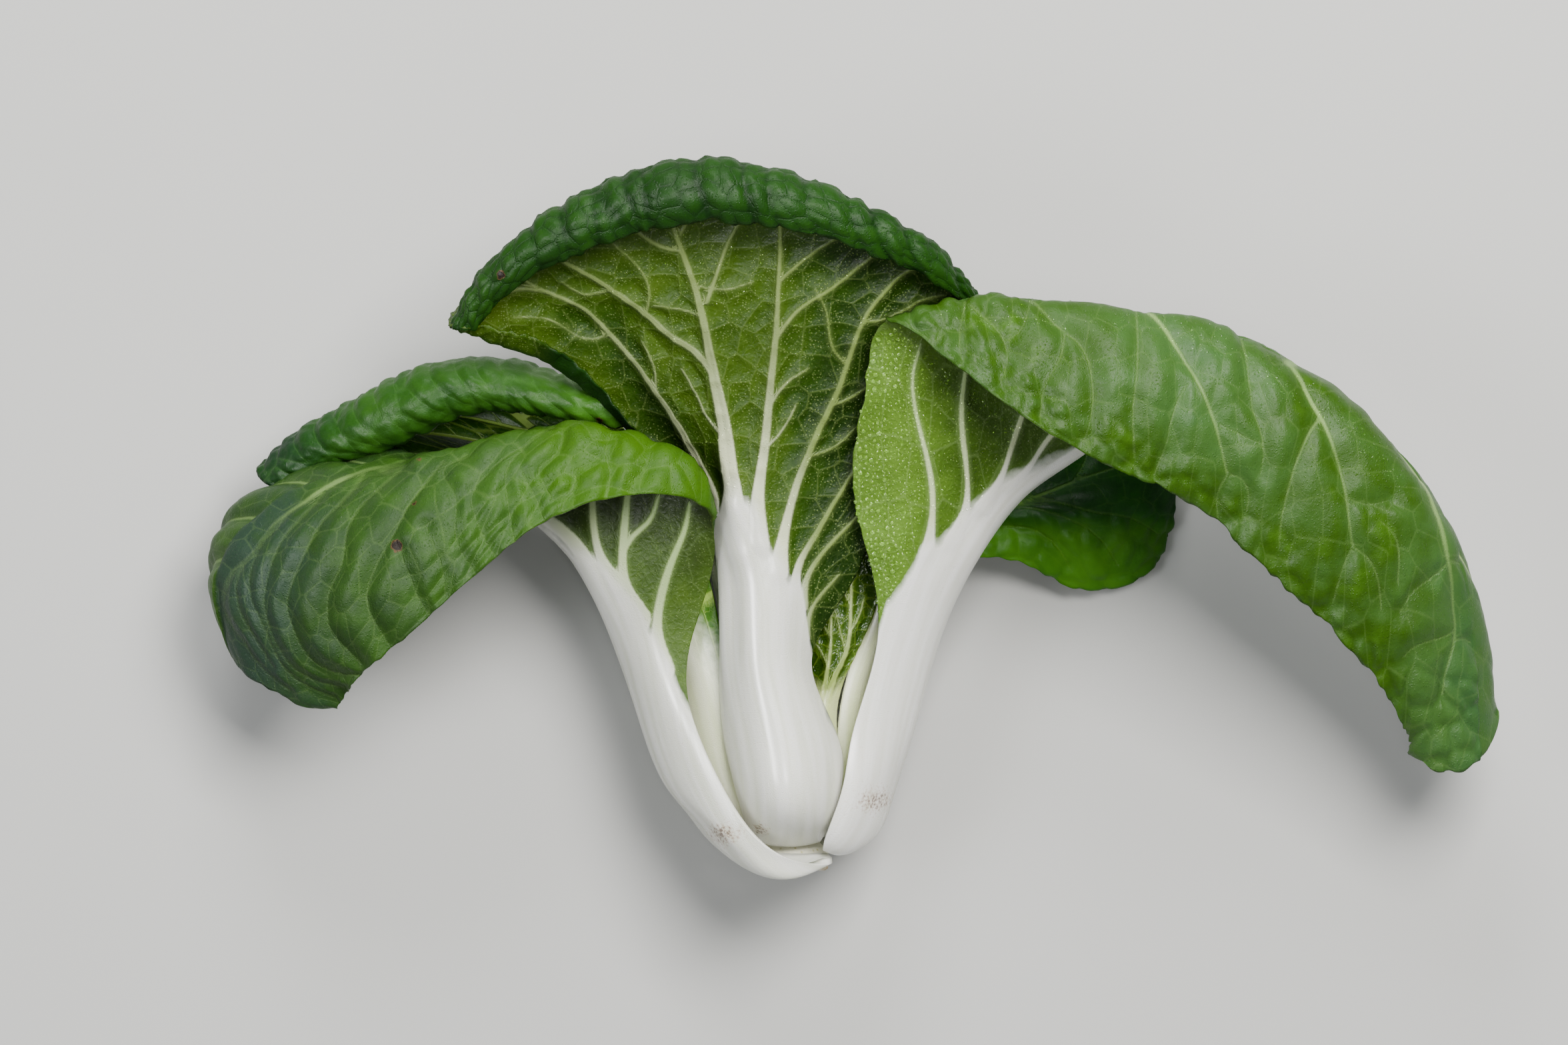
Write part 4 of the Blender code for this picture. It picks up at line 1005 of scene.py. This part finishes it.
LEFT_LOBE_VEINS = [
    [(-42, 66, 9.0), (-48, 76, 5.0), (-52, 84, 3.4), (-60, 92, 2.8), (-70, 98, 2.4)],
    [(-43, 74, 6.5), (-47, 83, 2.2), (-48.5, 90, 1.7), (-48.8, 99, 1.4)],
    [(-38.4, 67, 7.0), (-41, 77, 2.6), (-41, 86, 2.0), (-40, 97, 1.6), (-39, 106, 1.0)],
    [(-41, 84, 1.4), (-38, 88.5, 1.3), (-35, 91, 1.2), (-32, 98, 1.0)],
    [(-31.6, 54, 6.0), (-32.5, 64, 2.6), (-31, 74, 2.0), (-28, 83, 1.6), (-25.5, 89, 1.3),
     (-24, 96, 0.9)],
]
LEFT_LOBE_BASE = [(-70, 96), (-60, 90), (-54, 84), (-47.5, 81), (-42, 74.5), (-38, 70), (-34, 63),
                  (-30, 56), (-26, 47), (-22, 40)]
LEFT_FLAP_VEINS = [
    [(-96, 105, 0.7), (-100, 103.5, 1.2), (-105, 103, 1.4), (-110, 101.5, 1.6), (-115, 99.5, 2.0),
     (-120, 96.5, 1.6), (-125, 93.5, 1.4), (-130, 89.5, 1.2), (-135, 83, 1.1), (-140, 79, 1.0),
     (-143, 73, 0.8)],
    [(-58, 115, 0.7), (-63, 112, 0.8), (-67, 108.5, 0.8), (-70, 104, 0.6), (-70, 98, 0.4),
     (-69, 92, 0.4), (-67.5, 85, 0.4)],
    [(-66, 110, 0.7), (-72, 106, 0.6), (-76, 102, 0.5), (-78.5, 99, 0.4), (-78, 93, 0.4),
     (-76, 88, 0.4), (-74, 84.5, 0.4), (-71, 81, 0.3)],
    [(-80, 108, 0.7), (-86, 103, 0.7), (-84, 100, 0.5), (-82.5, 95, 0.4), (-83, 90, 0.4),
     (-82, 85, 0.4), (-79, 80.5, 0.3), (-76.5, 77, 0.3)],
    [(-86, 106, 1.0), (-92, 99, 1.0), (-95, 95, 1.0), (-98, 89, 0.9), (-101, 84, 0.8),
     (-104, 78, 0.8), (-105.3, 74, 0.7), (-105, 70, 0.5), (-102.5, 65, 0.4), (-100, 61, 0.3)],
    [(-97.5, 86, 0.5), (-96, 82, 0.4), (-94, 77, 0.4), (-92, 72, 0.4), (-88.5, 67, 0.3)],
    [(-90, 90, 0.4), (-88, 85, 0.4), (-86.3, 80, 0.4), (-85.5, 73, 0.3)],
    [(-97, 104, 1.0), (-103, 99, 0.9), (-107, 95, 0.9), (-110, 90, 0.9), (-111, 85, 0.8),
     (-112, 80, 0.8), (-115, 74, 0.7), (-115.5, 69, 0.6), (-115, 65, 0.5), (-112, 61, 0.4),
     (-107, 56, 0.3)],
    [(-106, 102, 1.2), (-112, 96, 1.1), (-117, 91, 1.0), (-120, 86, 1.0), (-123, 80, 0.9),
     (-125, 75, 0.8), (-126, 70, 0.7), (-124.5, 65, 0.6), (-121, 58, 0.5), (-113, 53.5, 0.4),
     (-107, 53, 0.3)],
    [(-116, 98, 1.1), (-122, 92, 0.9), (-126, 88, 0.9), (-129, 83, 0.8), (-131, 77, 0.7),
     (-132, 71, 0.6), (-131, 66, 0.5), (-128, 59, 0.5), (-123, 53.5, 0.4), (-112, 50, 0.3)],
    [(-126, 92, 1.0), (-132, 86, 0.8), (-135, 80, 0.7), (-135.5, 73, 0.6), (-133, 67, 0.5),
     (-130, 60, 0.5), (-126, 53.5, 0.4), (-115, 47.5, 0.3)],
    [(-131, 88, 0.9), (-136, 82, 0.8), (-139, 76, 0.7), (-138.5, 70, 0.5), (-135, 63, 0.5),
     (-130, 55, 0.4)],
    [(-137, 81, 0.8), (-142, 74, 0.7), (-142, 68, 0.5), (-138, 62, 0.5), (-134, 56, 0.4),
     (-126, 49, 0.3)],
    [(-44, 113, 0.5), (-45, 109, 0.5), (-44, 104, 0.4), (-45, 97, 0.3)],
    [(-45, 110, 0.4), (-49, 106, 0.4), (-53, 104, 0.4), (-52, 101, 0.4), (-55, 97, 0.4),
     (-56, 93, 0.3)],
    [(-56, 113, 0.5), (-58, 108, 0.4), (-62, 105, 0.4), (-60, 100, 0.4), (-58, 97, 0.4),
     (-55.5, 96.5, 0.3)],
    [(-66, 104, 0.4), (-64, 100, 0.4), (-62, 96, 0.4), (-60, 90, 0.3)],
    [(-34, 110, 0.4), (-36, 104, 0.4), (-39, 101, 0.3), (-38, 97, 0.3)],
]
LEFT_SPOTS = [((-97.5, 85.5), 1.26), ((-92, 106), 0.63), ((-93, 96), 0.49)]
left_skin = leaf_skin("left leaf", ("465f18", "354c13", "27370d", "192a04"),
                      ("345902", "2d4e10", "213d11", "223728"), outer_vein="96b070",
                      inner_vein="7d9a58", cell=2.2, outer_net=0.06, inner_net=0.08, crease=0.5,
                      soft=0.35, gloss=0.47, shine=0.14, dew=0.1)
sheet = lay_out(LEFT_ROWS, midrib=2, neck=(5, 8), step=1.0)
ruffle(sheet, wave=0.8, bite=0.7, size=7.0, seed=91)
x, y = sheet.points[:, :, :2].transpose(2, 0, 1)
turned_over = sheet.normal[:, :, 2] < np.where(sheet.row > 9, 0.5, 0.1)
flap = (sheet.column > 1.6) & (sheet.row > 6) & turned_over
lobe = (sheet.column > 1.4) & (sheet.row < 9) & ~flap
spine = feather(start=60, end=215, reach=60, pitch=15, lean=0.8, width=4)
veins = chosen([flap, lobe], [vein_field(x, y, LEFT_FLAP_VEINS, slim=0.5),
                              vein_field(x, y, LEFT_LOBE_VEINS, slim=0.85)],
               vein_field(sheet.side, sheet.up, spine, slim=0.6))
net = cells(sheet.side, sheet.up, size=6.6, seed=92)
above = np.where(lobe, above_line(x, y, LEFT_LOBE_BASE), (sheet.up - 75) * 0.12)
lobe_sunk = quilted(veins, net, puff=0.6, reach=4.0, fine=0.15, fine_reach=2.0)
flap_sunk = quilted(veins, net, puff=1.5, reach=4.6,
                    fine=0.2 + 0.45 * smooth_step(x, -105, -75), fine_reach=2.4)
sunk = np.where(lobe, lobe_sunk, flap_sunk) * sheet.blade * smooth_step(above, -1, 1.5)
# The lobe darkens towards its top, painted shade under the arching flap. The flap runs from
# yellow-green at the crest to grey-green at the tip, partly its own colour and partly painted
# light, lighter on the crest and darker away from it.
tone = np.where(flap, 0.05 + 0.5 * smooth_step(-x, 40, 95) + 0.45 * smooth_step(-x, 105, 138),
                0.25 + 0.4 * smooth_step(y, 70, 98))
stain = 0.9 * mark(x, y, (-15.5, 12), 5.0, 3.2) * (sheet.row < 3)
facing_up = flap * smooth_step(-sheet.normal[:, :, 2], 0.3, 0.6)
for middle, size in LEFT_SPOTS:
    stain = stain + 3.6 * mark(x, y, middle, size) * facing_up
make_leaf("left_leaf", "leaf_left", sheet, veins, net, sunk, above, tone, left_skin, stalk=7.0,
          stand=0.6, stain=stain, pale=np.where(lobe, np.exp(-above.clip(0) / 10), 0), seed=9)

# The front leaf: it faces the viewer with its outer side, whose ribs fan out from a broad white
# stalk. Its top margin is rolled over forward, so the roll shows the deep green, quilted inside.
# The roll's creases and the pleat in the blade are darkened with painted shade.
FRONT_ROWS = [
    [(-9.3, 10.8, 35.3), (-8.2, 10.1, 37), (-5.5, 9.3, 38.5), (-3, 8.8, 39.8),
     (0, 8.6, 40.3), (3, 8.6, 39.9), (6.5, 9, 38), (9.3, 9.6, 35)],
    [(-11, 18, 42), (-10, 17.5, 45), (-7.5, 17, 49.5), (-4, 17, 53.5),
     (0.5, 17, 55.5), (5, 17, 54.5), (9.5, 17, 50.5), (13, 17.5, 44)],
    [(-14.7, 32, 42), (-13.8, 32, 45), (-11, 32, 50.5), (-6.5, 32, 55.5),
     (-0.5, 32, 58), (5, 32, 56.5), (10.5, 32, 51.5), (15, 32, 43)],
    [(-16.7, 56, 43), (-16.2, 56, 45.5), (-13.5, 56, 50), (-10, 56, 54),
     (-5.5, 56, 56.5), (-1, 56, 55), (3.5, 56, 51.5), (7, 56, 45.5)],
    [(-17.2, 79, 44), (-16.8, 79, 46.5), (-14, 79, 51), (-10.5, 78.5, 54.5),
     (-6, 78, 56.5), (-1.5, 78, 56), (4.5, 77.5, 53.5), (17.5, 76, 47.5)],
    [(-21.5, 96, 47), (-20.5, 97, 46), (-18.5, 97, 49.5), (-15.8, 97, 53),
     (-12.8, 97, 56.5), (-7, 98, 58), (2.5, 97.5, 57.5), (25, 95, 51)],
    [(-35.3, 116, 56), (-38.3, 116.5, 51.5), (-29.5, 119, 56), (-23, 119.5, 59),
     (-15.8, 120, 62), (-4, 120, 63.5), (11.5, 120, 63), (34, 116, 54)],
    [(-58.5, 137.5, 69), (-60.5, 134, 64), (-50, 145, 66), (-36, 145, 68),
     (-20, 144, 71), (-2, 144, 73), (20.5, 142.5, 72), (46, 133, 58)],
    [(-78.3, 141.2, 76), (-81.2, 139.2, 71), (-76.3, 151, 74), (-60.5, 163.6, 78),
     (-29, 175.5, 81), (0, 173.8, 83), (30.2, 160.9, 77), (47.5, 147, 62)],
]
FRONT_CURL_RADII = (2.4, 3.2, 4.8, 6.8, 8.7, 7.7, 5.0, 2.2)
FRONT_TURN_DEG = 222.0
FRONT_VEINS = [
    [(-12, 84, 12.0), (-12.5, 90, 9.8), (-13, 97, 7.4), (-14, 105, 5.9), (-15, 115, 4.9),
     (-17, 125, 4.1), (-19, 135, 3.3), (-20.5, 143, 2.8), (-24, 155, 2.3), (-26.5, 162, 2.0),
     (-29.5, 172, 1.6)],
    [(-26.5, 160, 1.5), (-30, 160.5, 1.5), (-36, 164, 1.4), (-43, 168, 1.1)],
    [(-26, 164, 1.3), (-24.5, 167, 1.3), (-23.5, 172, 1.0)],
    [(-19.5, 147, 1.8), (-17, 154, 1.5), (-14, 162, 1.2), (-9, 170, 0.9)],
    [(-18, 129, 2.8), (-22, 134, 2.4), (-28, 138, 2.2), (-35, 144, 2.0), (-42, 149, 1.8),
     (-50, 154, 1.6), (-61, 160, 1.2)],
    [(-16, 88, 5.0), (-18, 95, 3.6), (-20, 100, 3.2), (-24, 108, 2.8), (-28, 116, 2.5),
     (-33, 124, 2.2), (-38, 131, 2.0), (-44, 138, 1.8), (-50, 144.5, 1.6), (-56, 148, 1.4),
     (-62, 150, 1.3), (-68, 150, 1.2), (-77, 147, 0.9)],
    [(-60, 149.5, 1.2), (-65, 152, 1.1), (-70, 155, 0.9)],
    [(-7, 86, 8.6), (-6.8, 92, 6.2), (-6.6, 98, 4.6), (-5, 110, 3.4), (-4, 120, 3.0),
     (-3, 130, 2.7), (-2, 140, 2.3), (-1.5, 150, 1.9), (-1, 160, 1.6), (-1, 172, 1.3)],
    [(-2.4, 137, 1.8), (1, 142, 1.5), (5, 146, 1.4), (10, 149, 1.3), (18, 155, 1.2),
     (26, 161, 0.9)],
    [(-1.2, 152, 1.3), (5, 157.5, 1.1), (15, 164, 0.8)],
    [(-1.5, 79, 7.0), (-0.5, 86, 4.4), (1, 93, 3.2), (4, 103, 2.7), (6, 108, 2.5), (9, 115, 2.3),
     (12, 121, 2.1), (16, 131, 1.9), (20, 142, 1.6), (25, 149, 1.4), (30, 154, 1.2),
     (37, 158, 0.9)],
    [(3, 72, 5.0), (3.4, 79, 3.0), (5, 83, 2.4), (8, 88, 2.1), (12, 95, 1.7), (17, 103, 1.3),
     (22, 111, 0.8)],
    [(5, 70, 4.0), (5.6, 76, 2.4), (8, 81, 1.8), (12, 86, 1.5), (19, 93, 1.1)],
    [(6, 62, 2.4), (7, 69, 1.5), (10, 73.5, 1.2), (14, 78, 0.8)],
    [(16, 131, 1.0), (12, 136, 0.8), (11, 143, 0.7), (8, 150, 0.5)],
    [(12, 121, 1.0), (19, 124, 0.8), (25, 130, 0.5)],
    [(20, 142, 0.9), (27, 143, 0.8), (34, 147, 0.6), (41, 149, 0.5)],
    [(-4, 120, 1.0), (1, 127, 0.9), (6, 130, 0.6)],
    [(-5, 110, 0.9), (-1, 114, 0.7), (3, 121, 0.5)],
    [(-20, 143, 0.9), (-26, 145, 0.7), (-33, 146, 0.5)],
    [(-22, 151, 0.8), (-15, 150, 0.6), (-8, 152, 0.5)],
    [(-35, 144, 0.9), (-34, 150, 0.7), (-38, 157, 0.6), (-45, 163, 0.5)],
    [(-44, 150, 0.9), (-51, 149, 0.6), (-56, 152, 0.4)],
    [(-15, 113, 0.9), (-19, 117, 0.7), (-22, 123, 0.5), (-26, 130, 0.4)],
    [(-33, 124, 0.9), (-33, 130, 0.7), (-36, 137, 0.5)],
    [(-44, 138, 0.8), (-51, 137.5, 0.6), (-58, 142, 0.5), (-68, 143, 0.4)],
    [(6, 108, 0.9), (12, 110, 0.7), (18, 115, 0.5)],
]
FRONT_STALK_TOP = [(-24, 86), (-18, 90), (-15.5, 96), (-12, 97), (-9, 96.5), (-6.5, 92),
                   (-4, 85.5), (-1, 80), (1, 76.5), (4, 77), (5.5, 69.5), (6.4, 62), (8, 52),
                   (11, 42), (16, 34)]
FRONT_PLEAT = [(-52, 141, 2), (-45, 138, 2), (-38, 126, 2), (-27, 111, 2), (-17, 98, 2)]
# The inner vein colour is a near-black green: on the roll it paints shade into the net of creases
# between the quilted cells.
front_skin = leaf_skin("front leaf", ("485e17", "364f0b", "203a02", "122801"),
                       ("1d4307", "143706", "092703", "031a01"), outer_vein="6e8143",
                       inner_vein="0c2a05", cell=2.3, outer_net=0.2, inner_net=0.36, crease=0.3,
                       soft=0.3, gloss=0.44, shine=0.13, dew=0.22)
sheet = lay_out(FRONT_ROWS, midrib=4, neck=(3, 6), step=0.95, radii=FRONT_CURL_RADII,
                turn_deg=FRONT_TURN_DEG)
ruffle(sheet, wave=0.5, bite=1.0, size=6.0, seed=101)
x, y = sheet.points[:, :, :2].transpose(2, 0, 1)
side, up = sheet.side, sheet.up
veins = vein_field(x, y, FRONT_VEINS, slim=0.5)
veins = chosen([sheet.rolled | (sheet.column < 0.9)], [vein_field(x, y, [])], veins)
pleat = vein_field(x, y, [FRONT_PLEAT])
ladder = cells(x, y, size=7.0, seed=105)
folds = cells(side + 4 * bumps(side, 0 * x, 17, 107), up * 0.22, size=10.0, seed=103)
quilt = cells(side, up, size=5.2, seed=104)
net = chosen([sheet.rolled], [quilt], ladder)
above = np.where(sheet.rolled, FAR, above_line(x, y, FRONT_STALK_TOP))
near_top = smooth_step(sheet.row, 7.5, 8)
deep = 0.85 + 0.5 * bumps(side, up, 19, 108)
flat_sunk = (quilted(veins, ladder, puff=0.9, reach=4.5, fine=0.38, fine_reach=2.2)
             + 2.0 * fading(pleat.line, 4.5))
roll_sunk = quilted(folds, quilt, puff=1.2 * deep, reach=4.0, fine=0.5, fine_reach=1.9) - 1.2
turned = smooth_step(sheet.column, 1.1, 0.5) * sheet.blade
sunk = flat_sunk * (1 - near_top) + roll_sunk * near_top
sunk = (sunk * sheet.blade * smooth_step(above, -2, 6)
        + 0.5 * turned * bumps(up, 0 * x, 1.6, 106))
flute = 0.22 * np.cos(math.pi * (sheet.column - 3.2)) * (1 - sheet.blade)
# The roll's tone darkens along its fold and quilt creases: painted shade in the grooves.
roll_tone_and_crease_shade = (0.28 + 0.12 * bumps(side, up, 20, 105) + 0.3 * deep * fading(folds.gap, 0.7)
             + 0.15 * fading(quilt.gap, 0.7))
# The flat blade's tone holds its own greens, plus painted shade along the pleat's groove and over
# the deep left panel beside it.
flat_tone_and_shade = (0.3 + 0.5 * smooth_step(x, -6, 12) * (1 - 0.5 * smooth_step(y, 110, 150))
             + 0.25 * smooth_step(x, 8, 20)
             + 0.35 * smooth_step(-x, 22, 30) * smooth_step(y, 125, 105)
             + 0.5 * fading(pleat.line, 6)
             + 0.3 * smooth_step(y, 150, 168) * smooth_step(x, 0, 30)
             + 0.15 * turned - 0.2 * smooth_step(-x, 62, 78))
tone = np.clip(np.where(sheet.rolled, roll_tone_and_crease_shade, flat_tone_and_shade), 0, 1)
stain = (0.9 * mark(x, y, (-6, 13), 2.5, 2) * (sheet.row < 2)
         + 3.8 * mark(x, y, (-71, 153.5), 0.8944) * sheet.rolled)
pale = np.exp(-(above.clip(0) / 32) ** 1.5) * (1 - 0.9 * smooth_step(x, 0, 9))
front_leaf = make_leaf("front_leaf", "leaf_front", sheet, veins, net,
                       sunk - flute * smooth_step(y, 35, 70), above, tone, front_skin,
                       stalk=8.0, stand=0.55, stain=stain, pale=pale,
                       fair=turned * smooth_step(x, -57, -63), seed=10)

# The beads of water left by rinsing: clear shallow domes of many sizes that sit on the skin of
# the right and front leaves, their rims painted a dark olive as shade. Each stands where a plumb
# line from above meets its leaf.
BEAD_SIDES = 9
BEAD_RINGS = ((0.95, -0.08), (1.0, 0.18), (0.88, 0.46), (0.6, 0.68), (0.26, 0.8))
BEAD_TOP = 0.83
BEAD_BOTTOM = -0.1
BEAD_GAP = 0.08
BEAD_TRIES = 8
MOSTLY_SMALL = 1.6
RIPPLE_BUMP = 0.00005
WATER_IOR = 1.33
water, tree, shader = new_material("water")
ripple = noise(tree, add(tree, "ShaderNodeTexCoord").outputs["Object"], scale=900.0)
wet = add(tree, "ShaderNodeBump", {"Height": ripple, "Strength": 0.1, "Distance": RIPPLE_BUMP})
# Seen edge-on, a bead's colour turns dark olive: painted shade standing in for the dark rim that
# refraction gives a drop.
rim = ranged(tree, add(tree, "ShaderNodeLayerWeight", {"Blend": 0.5}).outputs["Facing"], 0.1, 0.6)
feed(tree, shader, {"Base Color": blend(tree, rim, (1.0, 1.0, 1.0, 1.0), srgb("5d7038")),
                    "Normal": wet.outputs["Normal"], "Roughness": 0.02, "IOR": WATER_IOR,
                    "Transmission Weight": 1.0})
lit_through = add(tree, "ShaderNodeBsdfTransparent").outputs["BSDF"]
in_shadow = times(tree, add(tree, "ShaderNodeLightPath").outputs["Is Shadow Ray"], 0.75)
mixed = add(tree, "ShaderNodeMixShader",
            {0: in_shadow, 1: shader.outputs["BSDF"], 2: lit_through}).outputs["Shader"]
feed(tree, tree.nodes["Material Output"], {"Surface": mixed})


def inside(x, y, outline):
    """Whether a point lies within an outline."""
    within = False
    for (ax, ay), (bx, by) in zip(outline, outline[1:] + outline[:1]):
        if (ay > y) != (by > y) and x < ax + (y - ay) * (bx - ax) / (by - ay):
            within = not within
    return within


def sprinkle(outline, count, small, large, rng, kept=None):
    """Places for beads within an outline, with their radii, added to those that are there."""
    corners = np.array(outline, float)
    low, high = corners.min(axis=0), corners.max(axis=0)
    kept = np.zeros((0, 3)) if kept is None else kept
    full = len(kept) + count
    for _ in range(count * BEAD_TRIES):
        x, y = rng.uniform(low, high)
        radius = small + (large - small) * rng.random() ** MOSTLY_SMALL
        if len(kept) == full:
            break
        clear = np.hypot(kept[:, 0] - x, kept[:, 1] - y) > kept[:, 2] + radius + BEAD_GAP
        if inside(x, y, outline) and clear.all():
            kept = np.vstack([kept, (x, y, radius)])
    return kept


def bead(leaf, spots, name):
    """Beads of water on a leaf, from their places and radii."""
    points, faces = [], []
    for x, y, radius in spots.tolist():
        above = Vector(((x - HEAD_MIDDLE[0]) * MM, (y - HEAD_MIDDLE[1]) * MM, 1.0))
        hit, foot, normal, _ = leaf.ray_cast(above, Vector((0, 0, -1)))
        if not hit:
            continue
        foot = Vector((foot.x / MM + HEAD_MIDDLE[0], foot.y / MM + HEAD_MIDDLE[1], foot.z / MM))
        one = normal.orthogonal().normalized()
        two = normal.cross(one)
        first = len(points)
        for share, height in BEAD_RINGS:
            for k in range(BEAD_SIDES):
                turn = 2 * math.pi * k / BEAD_SIDES
                spoke = share * (math.cos(turn) * one + math.sin(turn) * two)
                points.append(foot + radius * (spoke + height * normal))
        points += [foot + level * radius * normal for level in (BEAD_TOP, BEAD_BOTTOM)]
        crown = first + len(BEAD_RINGS) * BEAD_SIDES
        for k in range(BEAD_SIDES):
            ahead = (k + 1) % BEAD_SIDES
            for ring in range(len(BEAD_RINGS) - 1):
                low, high = first + ring * BEAD_SIDES, first + (ring + 1) * BEAD_SIDES
                faces.append((low + k, low + ahead, high + ahead, high + k))
            faces.append((crown - BEAD_SIDES + k, crown - BEAD_SIDES + ahead, crown))
            faces.append((first + ahead, first + k, crown + 1))
    return solid(name, points, faces, water)


rng = np.random.default_rng(4)
bpy.context.view_layer.update()
LOBE_MARGIN = [(24, 66), (23, 70), (21.5, 80), (19, 90), (17.5, 100), (18.5, 112), (20, 127),
               (23, 138), (29, 141)]
RIGHT_LOBE_EDGE = LOBE_MARGIN + [(30, 130), (26, 118), (26, 100), (29, 84), (28, 74)]
RIGHT_LOBE = LOBE_MARGIN + [(34, 136), (36, 124), (35, 110), (36, 96), (33, 86), (28, 74)]
RIGHT_LOBE_DEEP = [(36, 96), (36, 124), (35, 136), (44, 127), (60, 116), (52, 100), (46, 92)]
RIGHT_CREST = [(36, 144), (60, 148), (90, 146), (110, 141), (135, 128), (150, 115), (160, 103),
               (154, 101), (135, 118), (112, 132), (90, 138), (62, 141), (44, 140)]
FRONT_PANEL = [(-30, 122), (-15, 100), (0, 90), (15, 84), (20, 100), (30, 130), (44, 150),
               (20, 158), (-20, 168), (-50, 158)]
spots = sprinkle(RIGHT_LOBE_EDGE, 420, 0.38, 0.95, rng)
spots = sprinkle(RIGHT_LOBE, 800, 0.22, 0.5, rng, spots)
spots = sprinkle(RIGHT_LOBE_DEEP, 300, 0.18, 0.4, rng, spots)
spots = sprinkle(RIGHT_CREST, 500, 0.16, 0.4, rng, spots)
bead(right_leaf, spots, "right_leaf_beads")
bead(front_leaf, sprinkle(FRONT_PANEL, 620, 0.14, 0.36, rng), "front_leaf_beads")

# The table: a plain pale board, which isn't part of the head. Soft lamps light it, the main one
# from the far right, and two more only lay a sheen on what is wet.
TABLE_HALF = 3.0
TABLE_DROP = 0.0002
LAMPS_AIM = (0, 0, 0.04)
DAYLIGHT = (0.93, 0.96, 1.0, 1.0)
table_mesh = bpy.data.meshes.new("table")
table_mesh.from_pydata([(x * TABLE_HALF, y * TABLE_HALF, -TABLE_DROP)
                        for x, y in ((-1, -1), (1, -1), (1, 1), (-1, 1))], [], [(0, 1, 2, 3)])
table = bpy.data.objects.new("table", table_mesh)
bpy.context.scene.collection.objects.link(table)
board, tree, shader = new_material("pale board")
cloudy = noise(tree, add(tree, "ShaderNodeTexCoord").outputs["Object"], scale=6.0)
feed(tree, shader, {"Base Color": blend(tree, cloudy, srgb("b0b0ad"), srgb("b7b7b4")),
                    "Roughness": 0.8})
table_mesh.materials.append(board)


def lamp(name, place, size, power, colour=(1.0, 1.0, 1.0), sheen_only=False):
    """A square soft lamp that points at the head, or only shows as a sheen on what is wet."""
    light = bpy.data.lights.new(name, "AREA")
    light.shape = "SQUARE"
    light.size = size
    light.energy = power
    light.color = colour
    rig = bpy.data.objects.new(name, light)
    rig.location = place
    rig.visible_diffuse = not sheen_only
    rig.rotation_euler = (Vector(LAMPS_AIM) - Vector(place)).to_track_quat("-Z", "Y").to_euler()
    bpy.context.scene.collection.objects.link(rig)


lamp("key lamp", (0.35, 0.5, 1.25), 0.6, 38.0, (1.0, 0.985, 0.96))
lamp("top lamp", (-0.15, 1.15, 0.75), 0.5, 15.0)
lamp("fill lamp", (-0.85, -0.1, 1.1), 0.5, 6.0, (0.95, 0.98, 1.0))
lamp("front lamp", (0.05, -0.12, 2.2), 0.25, 4.0)
lamp("front sheen", (-0.1, -0.08, 2.2), 0.3, 22.0, sheen_only=True)
lamp("side sheen", (-0.95, -0.1, 1.2), 0.3, 20.0, sheen_only=True)
world = bpy.data.worlds.new("studio")
world.use_nodes = True
feed(world.node_tree, world.node_tree.nodes["Background"], {"Color": DAYLIGHT, "Strength": 0.26})
bpy.context.scene.world = world

# The camera: it looks straight down on the lying head, as the photograph looks level at it. It
# stands far off with a narrow view, so that the near leaves don't look too large.
CAMERA_HIGH = 2.4
SENSOR_WIDE = 36.0
AIM = (0.0, 91.46, 45.0)
FRAME_WIDE = 0.4
camera = bpy.data.objects.new("camera", bpy.data.cameras.new("camera"))
camera.location = ((AIM[0] - HEAD_MIDDLE[0]) * MM, (AIM[1] - HEAD_MIDDLE[1]) * MM,
                   AIM[2] * MM + CAMERA_HIGH)
camera.data.sensor_fit = "HORIZONTAL"
camera.data.sensor_width = SENSOR_WIDE
camera.data.lens = SENSOR_WIDE * CAMERA_HIGH / FRAME_WIDE
camera.data.clip_end = 20.0
bpy.context.scene.collection.objects.link(camera)
bpy.context.scene.camera = camera
